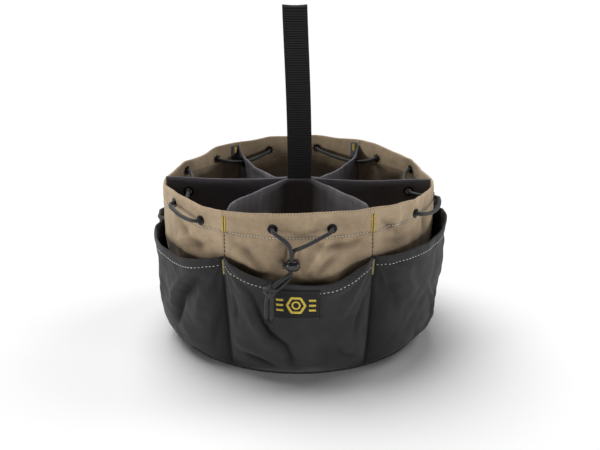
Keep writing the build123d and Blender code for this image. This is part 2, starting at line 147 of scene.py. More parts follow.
# Folds pressed into the cloth: places along each fold (azimuth, height), width, depth.
wall_folds = [
    ([(-97, 147), (-94.5, 138), (-95.5, 118)], 5.5, -2.6),
    ([(-90, 147), (-88.5, 138), (-90.5, 130)], 4.0, 1.5),
    ([(-85, 146), (-80, 138), (-70, 139), (-63, 144)], 5.0, -2.4),
    ([(-76, 150), (-82, 134), (-88, 112)], 4.5, 1.6),
    ([(-74, 132), (-80, 121), (-84, 108)], 4.0, -1.6),
    ([(-117, 140), (-110, 131), (-103, 112)], 6.0, -1.6),
    ([(-117, 128), (-108, 118), (-102, 108)], 5.0, 1.4),
    ([(-150, 147), (-140, 132), (-130, 122)], 7.0, -1.8),
    ([(-132, 147), (-138, 134), (-150, 122)], 6.0, 1.4),
    ([(-124, 140), (-132, 128), (-142, 119)], 5.0, -1.4),
    ([(-57, 160), (-50, 148), (-44, 134)], 5.0, -1.8),
    ([(-46, 165), (-46, 152), (-52, 138)], 5.0, 1.3),
    ([(-57, 136), (-46, 131), (-34, 136)], 4.0, -1.3),
    ([(-26, 146), (-24, 136), (-28, 126)], 6.0, -1.6),
    ([(-13, 146), (-17, 134), (-24, 128)], 5.0, 1.4),
    ([(34, 148), (38, 130), (36, 100)], 7.0, 2.2),
    ([(52, 146), (47, 120), (49, 90)], 6.0, -2.2),
    ([(74, 150), (78, 125), (76, 95)], 7.0, 2.0),
    ([(95, 150), (98, 122), (94, 90)], 8.0, -2.4),
    ([(108, 140), (112, 120), (110, 92)], 6.0, 1.6),
    ([(128, 148), (131, 124), (128, 92)], 6.0, -2.0),
    ([(144, 146), (142, 120), (146, 92)], 7.0, 2.0),
    ([(166, 146), (162, 128), (166, 100)], 6.0, -2.0),
    ([(10, 146), (14, 128), (11, 100)], 6.0, -1.8),
]
pocket_folds = [
    ([(-126, 108), (-132.4, 90), (-138.6, 74), (-143.3, 52), (-147, 29)], 6.5, -5.2),
    ([(-131, 106), (-139, 88), (-146, 70), (-150, 50)], 5.0, 2.0),
    ([(-119, 98), (-121, 82), (-122.5, 60), (-124.7, 36), (-126.5, 20)], 5.0, -2.0),
    ([(-127, 96), (-129.5, 76), (-132.5, 48)], 7.0, 2.2),
    ([(-168, 104), (-165, 80), (-166, 50)], 8.0, -1.8),
    ([(-157, 102), (-158, 76), (-160, 40)], 8.0, 1.6),
    ([(-109, 101), (-106, 88), (-103.5, 68), (-101, 54), (-94.8, 41), (-92.7, 28), (-92, 12)],
     4.2, -3.6),
    ([(-112, 96), (-109.5, 80), (-107, 62), (-103, 46), (-98, 34)], 6.5, 2.4),
    ([(-112.5, 26), (-105.6, 21.5), (-98.5, 14)], 3.2, -2.8),
    ([(-117, 40), (-112, 33), (-104, 28)], 5.0, 1.8),
    ([(-115.5, 100), (-113.6, 78), (-114, 50)], 3.5, -1.6),
    ([(-64, 105), (-68.6, 94), (-72.5, 79), (-75.5, 62)], 5.0, 1.8),
    ([(-62.5, 100), (-65, 84), (-68, 62), (-69, 40)], 4.5, -1.8),
    ([(-66, 112), (-73, 100), (-80, 92)], 3.6, 1.4),
    ([(-86, 62), (-84, 44), (-87, 24)], 6.0, 1.6),
    ([(-76, 36), (-72, 26), (-66, 18)], 4.0, -1.6),
    ([(-57, 104), (-52, 84), (-50, 60)], 6.0, -1.4),
    ([(-54, 112), (-46, 96), (-40, 74)], 7.0, 1.6),
    ([(-31.4, 74), (-23.8, 48), (-22.8, 29), (-28.4, 14)], 3.6, 2.6),
    ([(-21, 66), (-17, 42), (-18, 20)], 5.0, -3.4),
    ([(-13, 112), (-15, 84), (-12, 50)], 6.0, 0.9),
    ([(-38, 30), (-33, 20), (-26, 12)], 3.6, -1.8),
    ([(7, 108), (10, 80), (8, 44)], 6.0, -0.7),
    ([(22, 100), (26, 70), (22, 34)], 8.0, 2.2),
    ([(40, 104), (36, 72), (40, 32)], 6.0, -2.6),
    ([(53, 100), (51, 70), (54, 36)], 6.0, 1.8),
    ([(67, 104), (71, 80), (69, 40)], 6.0, -2.4),
    ([(82, 98), (86, 62), (82, 26)], 8.0, 2.4),
    ([(99, 100), (96, 66), (100, 30)], 6.0, -3.0),
    ([(111, 104), (109, 76), (112, 40)], 6.0, 1.8),
    ([(127, 106), (131, 76), (128, 36)], 6.0, -2.4),
    ([(142, 98), (140, 66), (144, 28)], 8.0, 2.2),
    ([(158, 100), (161, 66), (157, 30)], 6.0, -2.8),
    ([(171, 108), (169, 80), (172, 44)], 6.0, 1.8),
]

# ---- helpers ----------------------------------------------------------------


def through(table, at):
    """A smooth closed curve through a table of (azimuth, value)."""
    places = np.array([p for p, _ in table], float)
    values = np.array([v for _, v in table], float)
    places = np.concatenate([places - 360, places, places + 360])
    values = np.tile(values, 3)
    slopes = np.gradient(values, places)
    at = (np.asarray(at, float) + 180.0) % 360.0 - 180.0
    i = np.clip(np.searchsorted(places, at, side="right") - 1, 0, len(places) - 2)
    span = places[i + 1] - places[i]
    t = (at - places[i]) / span
    return (
        (2 * t**3 - 3 * t**2 + 1) * values[i]
        + (t**3 - 2 * t**2 + t) * span * slopes[i]
        + (3 * t**2 - 2 * t**3) * values[i + 1]
        + (t**3 - t**2) * span * slopes[i + 1]
    )


def ease(value, start, end):
    """0 before start, 1 after end, and smooth between them."""
    t = np.clip((np.asarray(value, float) - start) / (end - start), 0, 1)
    return t * t * (3 - 2 * t)


def turned(azimuth, middle):
    """How far an azimuth is from another, between -180 and 180."""
    return (np.asarray(azimuth, float) - middle + 180.0) % 360.0 - 180.0


def from_seam(azimuth):
    """How far round the rim a place is from its nearest seam, in millimetres."""
    return turned(azimuth * seam_count, 0) / seam_count * math.radians(1) * rim_radius


def unit(vectors):
    """Rows of vectors, each with a length of 1."""
    return vectors / np.linalg.norm(vectors, axis=1, keepdims=True)


def run_of(line):
    """The distance along a line at each of its points."""
    return np.concatenate([[0], np.cumsum(np.linalg.norm(np.diff(line, axis=0), axis=1))])


def cloth_uv(azimuth, height):
    """The cloth's UVs over the bag's surface, in metres."""
    return np.stack([np.radians(azimuth) * rim_radius * MM, height * MM], -1)


def cloud(azimuth, height, size, seed):
    """Smooth noise over the bag's surface, about -1 to 1."""
    angle = np.radians(azimuth)
    x, y = rim_radius * np.cos(angle) / size, rim_radius * np.sin(angle) / size
    z = np.asarray(height, float) / size + seed * 17.0
    flat = [noise.noise((a, b, c)) for a, b, c in zip(x.ravel(), y.ravel(), z.ravel())]
    return np.array(flat).reshape(x.shape)


def folded(azimuth, height, folds):
    """The dents and ridges of a list of folds, in millimetres outward."""
    arc = math.radians(1) * rim_radius
    total = np.zeros(np.shape(azimuth))
    for places, width, depth in folds:
        line = np.array(places, float)
        x = turned(azimuth, line[0, 0]) * arc
        line_x = turned(line[:, 0], line[0, 0]) * arc
        points = np.stack([x, height], -1)
        line = np.stack([line_x, line[:, 1]], -1)
        runs = np.linalg.norm(np.diff(line, axis=0), axis=1)
        along = np.concatenate([[0], np.cumsum(runs)])
        best, share = np.full(x.shape, 1e9), np.zeros(x.shape)
        for a, b, before, run in zip(line, line[1:], along, runs):
            t = np.clip(((points - a) @ (b - a)) / run**2, 0, 1)
            away = np.linalg.norm(points - a - t[..., None] * (b - a), axis=-1)
            share = np.where(away < best, (before + t * run) / along[-1], share)
            best = np.minimum(best, away)
        fade = np.sin(math.pi * np.clip(share, 0.02, 0.98)) ** 0.7
        crease = 0.7 * np.exp(-((best / width) ** 2)) + 0.45 * np.exp(-best / (0.45 * width))
        total += depth * fade * crease
    return total


def from_axis(radius, azimuth, height):
    """Points given by distance from the bag's axis, azimuth and height."""
    angle = np.radians(azimuth)
    return np.stack([radius * np.cos(angle), radius * np.sin(angle), height + 0 * angle], -1)


def mesh_piece(name, vertices, faces, uvs=None, materials=(), face_materials=None, wear_and_painted_shading=None):
    """An object from points in millimetres; uvs are in metres, one for each vertex. The last argument is
    painted shade and painted light: how much each point's cloth is darkened (below 0) or lightened
    (above 0), painted where its folds, creases and hollows would be shaded or lit."""
    mesh = bpy.data.meshes.new(name)
    mesh.from_pydata((np.asarray(vertices) * MM).tolist(), [], [list(map(int, f)) for f in faces])
    for material in materials:
        mesh.materials.append(material)
    if face_materials is not None:
        mesh.polygons.foreach_set("material_index", np.asarray(face_materials, np.int32))
    mesh.polygons.foreach_set("use_smooth", [True] * len(mesh.polygons))
    if uvs is not None:
        layer = mesh.uv_layers.new(name="weave")
        corners = np.array([loop.vertex_index for loop in mesh.loops])
        layer.data.foreach_set("uv", np.asarray(uvs, np.float32)[corners].ravel())
    # a per-point attribute of painted shade and painted light, which the cloth materials multiply into
    # their colour
    layer = mesh.attributes.new("wear_and_painted_shading", "FLOAT", "POINT")
    layer.data.foreach_set("value", np.zeros(len(mesh.vertices)) if wear_and_painted_shading is None else np.ravel(wear_and_painted_shading))
    mesh.validate()
    piece = bpy.data.objects.new(name, mesh)
    bpy.context.scene.collection.objects.link(piece)
    return piece


def grid_faces(rows, columns, flip=False, closed=False):
    """Quads of a grid whose points run along the columns first."""
    across = columns if closed else columns - 1
    i, j = (n.ravel() for n in np.meshgrid(np.arange(rows - 1), np.arange(across), indexing="ij"))
    k, here, above = (j + 1) % columns, i * columns, (i + 1) * columns
    quads = np.stack([here + j, here + k, above + k, above + j], -1)
    return quads[:, ::-1] if flip else quads


def tube_faces(rows, columns, flip=False):
    """Faces of a closed tube of rings, with a cap at each end."""
    ring = list(range(columns))
    last = [(rows - 1) * columns + k for k in ring]
    caps = [ring, last[::-1]] if flip else [ring[::-1], last]
    return grid_faces(rows, columns, closed=True, flip=flip).tolist() + caps


def shell(name, outside, inside, uv, material, round_top=0.6, wear_and_painted_shading=None):
    """Closed cloth between two grids of points (rows upward, columns sideways). Its top edge is rounded
    over, like a fold. The last argument is painted shade and painted light, which darkens or lightens
    the outside."""
    across = outside[-1] - inside[-1]
    up = unit(outside[-1] - outside[-2])
    half = np.linalg.norm(across, axis=1, keepdims=True) / 2
    caps = []
    for turn in (50, 90, 130):
        turn = math.radians(turn)
        middle = (outside[-1] + inside[-1]) / 2
        caps.append(middle + across / 2 * math.cos(turn) + up * half * round_top * 2 * math.sin(turn))
    sheet = np.concatenate([outside, np.array(caps), inside[::-1]])
    top_uv = np.array([uv[-1]] * len(caps))
    sheet_uv = np.concatenate([uv, top_uv, uv[::-1]])
    # painted shade and painted light on the outside's points; none on the top and inside
    tone = np.zeros(sheet.shape[:2])
    if wear_and_painted_shading is not None:
        tone[:len(wear_and_painted_shading)] = wear_and_painted_shading
    rows, columns = sheet.shape[:2]
    faces = grid_faces(rows, columns, flip=True).tolist()
    count = rows * columns
    bottom = [[j, j + 1, count - columns + j + 1, count - columns + j] for j in range(columns - 1)]
    sides = []
    for i in range(rows // 2):
        a, b = i * columns, (i + 1) * columns
        c, d = (rows - 1 - i) * columns, (rows - 2 - i) * columns
        if b >= d + columns:
            break
        last = columns - 1
        if b == d:
            sides += [[a, b, c], [c + last, b + last, a + last]]
        else:
            sides += [[a, b, d, c], [c + last, d + last, b + last, a + last]]
    return mesh_piece(name, sheet.reshape(-1, 3), faces + bottom + sides,
                      sheet_uv.reshape(-1, 2), [material], wear_and_painted_shading=tone)


def stitches(name, groups, materials):
    """Raised threads. groups holds (starts, ends, thickness, material number)."""
    shares = np.array([0.0, 0.16, 0.5, 0.84, 1.0])
    widths = np.array([0.3, 0.86, 1.0, 0.86, 0.3])
    sides = 6
    turn = np.arange(sides) * 2 * math.pi / sides
    vertices, faces, numbers, start = [], [], [], 0
    for starts, ends, thickness, number in groups:
        starts, ends = np.asarray(starts, float), np.asarray(ends, float)
        along = ends - starts
        along = along / np.maximum(np.linalg.norm(along, axis=1, keepdims=True), 1e-9)
        side = np.cross(along, np.where(abs(along[:, 2:]) > 0.9, (1.0, 0, 0), (0, 0, 1.0)))
        side /= np.maximum(np.linalg.norm(side, axis=1, keepdims=True), 1e-9)
        other = np.cross(along, side)
        ring = (side[:, None, None] * np.cos(turn)[None, None, :, None]
                + other[:, None, None] * np.sin(turn)[None, None, :, None])
        centre = starts[:, None] + (ends - starts)[:, None] * shares[None, :, None]
        points = centre[:, :, None] + ring * (widths * thickness / 2)[None, :, None, None]
        vertices.append(points.reshape(-1, 3))
        one = tube_faces(len(shares), sides)
        size = len(shares) * sides
        for k in range(len(starts)):
            faces += [[v + start + k * size for v in f] for f in one]
            numbers += [number] * len(one)
        start += size * len(starts)
    return mesh_piece(name, np.concatenate(vertices), faces, None, materials, numbers)


def dashes(points, length=dash, pitch=dash_pitch):
    """Start and end points of running stitches along a line."""
    points = np.asarray(points, float)
    run = run_of(points)
    begins = np.arange(pitch - length, run[-1] - length, pitch)
    at = [np.stack([np.interp(b, run, points[:, k]) for k in range(3)], -1)
          for b in (begins, begins + length)]
    return at[0], at[1]


def route_line(points):
    """Points in metres down the middle of a smooth cord through a route."""
    data = bpy.data.curves.new("route", "CURVE")
    data.dimensions = "3D"
    data.resolution_u = 10
    spline = data.splines.new("NURBS")
    spline.points.add(len(points) - 1)
    for point, place in zip(spline.points, points):
        point.co = (*place, 1.0)
    spline.order_u = 3
    spline.use_endpoint_u = True
    bare = bpy.data.objects.new("route", data)
    mesh = bpy.data.meshes.new_from_object(bare)
    line = np.array([v.co for v in mesh.vertices], float)
    bpy.data.objects.remove(bare)
    bpy.data.curves.remove(data)
    bpy.data.meshes.remove(mesh)
    return line


def evenly(line, step):
    """The line again, with points about step apart."""
    run = run_of(line)
    at = np.linspace(0, run[-1], max(3, int(run[-1] / step) + 1))
    return np.stack([np.interp(at, run, line[:, k]) for k in range(3)], axis=1)


def tube(name, line, diameter):
    """A braided cord along a line in millimetres: its surface rises and falls like a braid."""
    strands, relief, lay = 8, 0.07, 9.0
    line = evenly(line, cord_step)
    tangent = unit(np.gradient(line, axis=0))
    side = np.zeros_like(line)
    side[0] = np.cross(tangent[0], (0.3, 0.2, 1.0))
    for i in range(1, len(line)):
        side[i] = side[i - 1] - tangent[i] * (side[i - 1] @ tangent[i])
        side[i] /= np.linalg.norm(side[i])
    side[0] = side[1]
    other = np.cross(tangent, side)
    around = 28
    turn = np.arange(around) * 2 * math.pi / around
    run = run_of(line)
    way = run[:, None] * 2 * math.pi / lay * strands / 2
    one = np.sin(turn * strands / 2 + way)
    two = np.sin(turn * strands / 2 - way)
    radius = diameter / 2 * (1 - relief + relief * np.maximum(one, two))
    shrink = np.minimum(1, np.sqrt(np.minimum(run, run[-1] - run) / (diameter / 2) + 0.12))
    radius = radius * shrink[:, None]
    points = line[:, None] + radius[..., None] * (
        side[:, None] * np.cos(turn)[None, :, None] + other[:, None] * np.sin(turn)[None, :, None])
    faces = tube_faces(len(line), around)
    uv = np.stack(np.broadcast_arrays(turn[None] / (2 * math.pi), run[:, None] * MM * 100), -1)
    return mesh_piece(name, points.reshape(-1, 3), faces, uv.reshape(-1, 2), [cord_nylon])


def cut_holes(piece, places):
    """Cut round holes: places holds (centre, direction, radius, half length)."""
    tool = bmesh.new()
    for centre, direction, radius, half in places:
        turn = Vector((0, 0, 1)).rotation_difference(Vector(direction)).to_matrix().to_4x4()
        made = bmesh.ops.create_cone(tool, cap_ends=True, segments=24, radius1=radius * MM,
                                     radius2=radius * MM, depth=2 * half * MM)
        bmesh.ops.transform(tool, matrix=turn, verts=made["verts"])
        bmesh.ops.translate(tool, vec=Vector(centre) * MM, verts=made["verts"])
    mesh = bpy.data.meshes.new("cutter")
    tool.to_mesh(mesh)
    tool.free()
    cutter = bpy.data.objects.new("cutter", mesh)
    bpy.context.scene.collection.objects.link(cutter)
    change = piece.modifiers.new("holes", "BOOLEAN")
    change.operation, change.object, change.solver = "DIFFERENCE", cutter, "EXACT"
    bpy.context.view_layer.update()
    graph = bpy.context.evaluated_depsgraph_get()
    cut = bpy.data.meshes.new_from_object(piece.evaluated_get(graph))
    piece.modifiers.clear()
    old, piece.data = piece.data, cut
    cut.name = piece.name
    bpy.data.meshes.remove(old)
    bpy.data.objects.remove(cutter)
    bpy.data.meshes.remove(mesh)


def place(piece, body, slot, *nodes):
    """Ride on a body and stand for CAD nodes, which are hidden; slot is not used."""
    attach(piece, body)
    if nodes:
        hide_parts(*nodes)
    return piece


def sew(name, groups, threads, *nodes):
    """Stitches that ride on the bag."""
    return place(stitches(name, groups, threads), "bag", "thread", *nodes)


# ---- camera, floor and light ------------------------------------------------


def make_camera():
    data = bpy.data.cameras.new("camera")
    data.lens = 64.0
    data.sensor_width = 36.0
    camera = bpy.data.objects.new("camera", data)
    camera.location = (0.0015, -1.082, 0.500)
    camera.rotation_euler = (math.radians(70.2), 0, 0)
    bpy.context.scene.collection.objects.link(camera)
    bpy.context.scene.camera = camera


def make_light(name, azimuth, rise, spread, strength, colour=(1, 1, 1)):
    """Light from one side: azimuth, rise above the floor and spread are in degrees."""
    data = bpy.data.lights.new(name, "SUN")
    data.angle = math.radians(spread)
    data.energy = strength
    data.color = colour
    light = bpy.data.objects.new(name, data)
    flat, up = math.cos(math.radians(rise)), math.sin(math.radians(rise))
    turn = math.radians(azimuth)
    aim = -Vector((flat * math.cos(turn), flat * math.sin(turn), up))
    light.rotation_euler = aim.to_track_quat("-Z", "Y").to_euler()
    bpy.context.scene.collection.objects.link(light)


def make_studio():
    scene = bpy.context.scene
    scene.view_settings.view_transform = "Standard"
    world = bpy.data.worlds.new("studio")
    world.use_nodes = True
    world.node_tree.nodes["Background"].inputs["Color"].default_value = (1, 1, 1, 1)
    world.node_tree.nodes["Background"].inputs["Strength"].default_value = 0.06
    scene.world = world
    floor_size = 60000.0
    floor = mesh_piece("floor", [(-floor_size, -floor_size, 0), (floor_size, -floor_size, 0),
                                 (floor_size, floor_size, 0), (-floor_size, floor_size, 0)],
                       [(0, 1, 2, 3)], None, [plain("floor_white", (0.94, 0.94, 0.94), 0.9)])
    make_light("top", 122, 60, 56, 3.1)
    make_light("across", 30, 40, 26, 0.65)
    make_light("key", -156, 4, 14, 1.5, (1.0, 0.99, 0.97))
    make_light("side", -24, 4, 14, 1.25)


# ---- materials --------------------------------------------------------------


def plain(name, colour, roughness, metallic=0.0):
    """A Principled material with its plain values set."""
    material = bpy.data.materials.new(name)
    material.use_nodes = True
    shader = material.node_tree.nodes["Principled BSDF"]
    shader.inputs["Base Color"].default_value = (*colour, 1)
    shader.inputs["Roughness"].default_value = roughness
    shader.inputs["Metallic"].default_value = metallic
    return material


class Nodes:
    """Short calls for building one material's node tree."""

    def __init__(self, material):
        self.tree = material.node_tree
        self.shader = self.tree.nodes["Principled BSDF"]

    def add(self, kind, links=(), **values):
        node = self.tree.nodes.new(kind)
        for key, value in values.items():
            setattr(node, key, value)
        for socket, source in dict(links).items():
            self.tree.links.new(source, node.inputs[socket])
        return node

    def math(self, operation, a, b):
        """A sum or product of a socket and a second socket or number."""
        node = self.add("ShaderNodeMath", {0: a}, operation=operation)
        if isinstance(b, (int, float)):
            node.inputs[1].default_value = b
        else:
            self.tree.links.new(b, node.inputs[1])
        return node.outputs[0]

    def ramp(self, source, stops):
        node = self.tree.nodes.new("ShaderNodeValToRGB")
        node.color_ramp.elements.remove(node.color_ramp.elements[1])
        for i, (at, colour) in enumerate(stops):
            element = node.color_ramp.elements[0] if i == 0 else node.color_ramp.elements.new(at)
            element.position, element.color = at, (*colour, 1)
        self.tree.links.new(source, node.inputs["Fac"])
        return node.outputs["Color"]

    def tint(self, first, second):
        """Two colours multiplied."""
        node = self.add("ShaderNodeMix", data_type="RGBA", blend_type="MULTIPLY")
        node.inputs[0].default_value = 1.0
        self.tree.links.new(first, node.inputs[6])
        self.tree.links.new(second, node.inputs[7])
        return node.outputs[2]

    def wave(self, angle, pitch):
        """Straight bands over the weave's UVs, pitch in metres."""
        uv = self.add("ShaderNodeUVMap", uv_map="weave")
        turned_uv = self.add("ShaderNodeMapping", {"Vector": uv.outputs[0]})
        turned_uv.inputs["Rotation"].default_value = (0, 0, math.radians(angle))
        node = self.add("ShaderNodeTexWave", {"Vector": turned_uv.outputs[0]})
        bands_at_scale_one = 20 / (2 * math.pi)
        node.inputs["Scale"].default_value = 1 / (bands_at_scale_one * pitch)
        return node.outputs["Fac"]

    def cloud(self, size, detail=3.0):
        """Smooth noise in space, size in metres."""
        place_at = self.add("ShaderNodeTexCoord")
        node = self.add("ShaderNodeTexNoise", {"Vector": place_at.outputs["Object"]})
        node.inputs["Scale"].default_value = 1 / size
        node.inputs["Detail"].default_value = detail
        return node.outputs["Fac"]

    def wear_and_painted_shading(self, colour, stops):
        """The colour, darkened by painted shade or lightened by painted light where the mesh's shading
        attribute says so.
        """
        amount = self.add("ShaderNodeAttribute", attribute_name="wear_and_painted_shading").outputs["Fac"]
        return self.tint(colour, self.ramp(self.math("ADD", amount, 0.5), stops))

    def bump(self, height, distance, strength, under=None):
        node = self.add("ShaderNodeBump", {"Height": height})
        node.inputs["Distance"].default_value = distance
        node.inputs["Strength"].default_value = strength
        if under is not None:
            self.tree.links.new(under, node.inputs["Normal"])
        return node.outputs[0]

    def use(self, socket, source):
        self.tree.links.new(source, self.shader.inputs[socket])


def woven(name, dark, light, twill_angle, twill_pitch, thread, roughness=0.88,
          sheen=0.25, contrast=1.0, wear=(0.5, 0.5, 0.5)):
    """Cloth with twill lines, threads across them, uneven colour, and painted shade and painted light
    from its mesh.
    """
    material = plain(name, light, roughness)
    nodes = Nodes(material)
    nodes.shader.inputs["Sheen Weight"].default_value = sheen
    nodes.shader.inputs["Sheen Roughness"].default_value = 0.45
    nodes.shader.inputs["Specular IOR Level"].default_value = 0.3
    twill = nodes.wave(twill_angle, twill_pitch)
    threads, picks = nodes.wave(0, thread), nodes.wave(90, thread)
    weave = nodes.math("MULTIPLY", nodes.math("ADD", threads, picks), 0.5)
    broad = nodes.cloud(0.05, 4.0)
    slub = nodes.cloud(0.0035, 2.0)
    lines = nodes.math("ADD", nodes.math("MULTIPLY", twill, 0.62 * contrast),
                       nodes.math("MULTIPLY", weave, 0.22 * contrast))
    lines = nodes.math("ADD", lines, 0.42 * (1 - contrast))
    shade = nodes.math("ADD", lines, nodes.math("MULTIPLY", slub, 0.30))
    colour = nodes.ramp(shade, [(0.12, dark), (0.88, light)])
    uneven = nodes.ramp(broad, [(0.30, wear), (0.66, (1, 1, 1))])
    colour = nodes.tint(colour, uneven)
    # painted shade and painted light from the mesh's attribute: darker in folds, creases and hollows,
    # lighter on ridges
    nodes.use("Base Color", nodes.wear_and_painted_shading(colour, [(0.0, (0.22, 0.21, 0.20)), (0.5, (0.80, 0.80, 0.80)),
                                                (1.0, (1.0, 1.0, 1.0))]))
    nodes.use("Roughness", nodes.math("ADD", nodes.math("MULTIPLY", slub, 0.12), roughness - 0.06))
    soft = nodes.bump(broad, 0.0016, 0.5)
    nodes.use("Normal", nodes.bump(shade, 0.00022, 0.85, soft))
    return material


def ribbed_webbing():
    """Black webbing: warp threads between heavy ribs."""
    material = plain("webbing_black", (0.014, 0.014, 0.015), 0.5)
    nodes = Nodes(material)
    nodes.shader.inputs["Specular IOR Level"].default_value = 0.12
    warp = nodes.wave(0, 0.0011)
    picks = nodes.wave(90, 0.0009)
    both = nodes.math("ADD", nodes.math("MULTIPLY", warp, 0.6), nodes.math("MULTIPLY", picks, 0.4))
    colour = nodes.ramp(both, [(0.1, (0.0095, 0.0095, 0.0105)), (0.9, (0.038, 0.038, 0.040))])
    # painted shade between the webbing's ribs and painted light on their crests, from the mesh's
    # attribute
    nodes.use("Base Color", nodes.wear_and_painted_shading(colour, [(0.1, (0.02, 0.02, 0.02)), (0.9, (1.0, 1.0, 1.0))]))
    nodes.use("Roughness", nodes.math("ADD", nodes.math("MULTIPLY", nodes.cloud(0.004), 0.25), 0.34))
    nodes.use("Normal", nodes.bump(both, 0.00025, 0.8))
    return material


def braided():
    """Charcoal nylon cord with a slight shine."""
    material = plain("cord_charcoal", (0.04, 0.04, 0.043), 0.55)
    nodes = Nodes(material)
    nodes.shader.inputs["Sheen Weight"].default_value = 0.08
    nodes.shader.inputs["Specular IOR Level"].default_value = 0.3
    one, two = nodes.wave(45, 0.09), nodes.wave(-45, 0.09)
    both = nodes.math("MAXIMUM", one, two)
    fine = nodes.cloud(0.0009, 2.0)
    nodes.use("Base Color", nodes.ramp(nodes.math("ADD", nodes.math("MULTIPLY", both, 0.6),
                                                  nodes.math("MULTIPLY", fine, 0.5)),
                                       [(0.15, (0.008, 0.008, 0.009)), (0.95, (0.042, 0.042, 0.044))]))
    nodes.use("Normal", nodes.bump(fine, 0.0002, 0.5))
    return material


def thread(name, dark, light, roughness=0.45):
    """Sewing thread: plied and slightly shiny."""
    material = plain(f"thread_{name}", light, roughness)
    nodes = Nodes(material)
    nodes.shader.inputs["Sheen Weight"].default_value = 0.2
    fine = nodes.cloud(0.0006, 2.0)
    nodes.use("Base Color", nodes.ramp(fine, [(0.3, dark), (0.7, light)]))
    nodes.use("Normal", nodes.bump(fine, 0.00012, 0.6))
    return material


def lacquered(name, colour, wear_and_painted_shading, roughness, amount):
    """Dark lacquer over metal, rubbed through to bare metal in specks on its edges."""
    material = plain(name, colour, roughness, 0.85)
    nodes = Nodes(material)
    speck = nodes.cloud(0.0022, 4.0)
    nodes.use("Base Color", nodes.ramp(speck, [(1 - amount, colour), (1.0, wear_and_painted_shading)]))
    nodes.use("Roughness", nodes.math("ADD", nodes.math("MULTIPLY", speck, 0.3), roughness - 0.1))
    nodes.use("Normal", nodes.bump(speck, 0.0001, 0.3))
    return material


def moulded(name, colour, roughness, grain=0.0012):
    """Moulded plastic with a faint uneven skin."""
    material = plain(name, colour, roughness)
    nodes = Nodes(material)
    nodes.shader.inputs["Coat Weight"].default_value = 0.25
    nodes.shader.inputs["Coat Roughness"].default_value = 0.12
    skin = nodes.cloud(grain, 3.0)
    nodes.use("Roughness", nodes.math("ADD", nodes.math("MULTIPLY", skin, 0.16), roughness - 0.05))
    nodes.use("Normal", nodes.bump(skin, 0.00008, 0.4))
    return material


canvas = woven("canvas_tan", (0.295, 0.211, 0.125), (0.765, 0.592, 0.403), -52, 0.0018, 0.00062,
               0.86, 0.12, 0.6, (0.78, 0.76, 0.74))
charcoal = woven("pocket_charcoal", (0.012, 0.0117, 0.0124), (0.062, 0.060, 0.062), -50, 0.0018,
                 0.0006, 0.82, 0.12, 0.7, (0.72, 0.71, 0.74))
divider_cloth = woven("divider_charcoal", (0.078, 0.075, 0.082), (0.215, 0.203, 0.223), 45, 0.0010,
                      0.0005, 0.80, 0.3, 0.5, (0.76, 0.74, 0.80))
base_cloth = woven("base_charcoal", (0.018, 0.018, 0.019), (0.045, 0.044, 0.046), 45, 0.0012,
                   0.0006, 0.85, 0.2)
binding_tape = woven("binding_black", (0.010, 0.010, 0.011), (0.034, 0.033, 0.035), 90, 0.0012,
                     0.0006, 0.6, 0.2)
label_cloth = woven("label_black", (0.006, 0.006, 0.007), (0.02, 0.02, 0.022), 90, 0.0007,
                    0.0005, 0.7, 0.1, 1.0, (0.85, 0.85, 0.85))
webbing = ribbed_webbing()
cord_nylon = braided()
yellow_thread = thread("yellow", (0.52, 0.36, 0.02), (0.86, 0.68, 0.10))
pale_thread = thread("pale_yellow", (0.50, 0.42, 0.12), (0.80, 0.72, 0.34))
ochre_thread = thread("ochre", (0.30, 0.18, 0.03), (0.52, 0.36, 0.10))
brown_thread = thread("brown", (0.05, 0.034, 0.02), (0.10, 0.07, 0.04))
cream_thread = thread("cream", (0.66, 0.63, 0.55), (0.95, 0.92, 0.84))
tan_thread = thread("tan", (0.40, 0.31, 0.20), (0.62, 0.52, 0.38))
black_thread = thread("black", (0.006, 0.006, 0.006), (0.03, 0.03, 0.032))

# ---- cords ------------------------------------------------------------------

cord_diameter = 4.0
cord_step = 0.7              # between the rings of a cord's surface


def polar(radius, azimuth, height):
    """A point of a cord's route, in metres, from millimetres and degrees."""
    angle = math.radians(azimuth)
    return (radius * math.cos(angle) * MM, radius * math.sin(angle) * MM, height * MM)


def metres(x, y, z):
    return (x * MM, y * MM, z * MM)


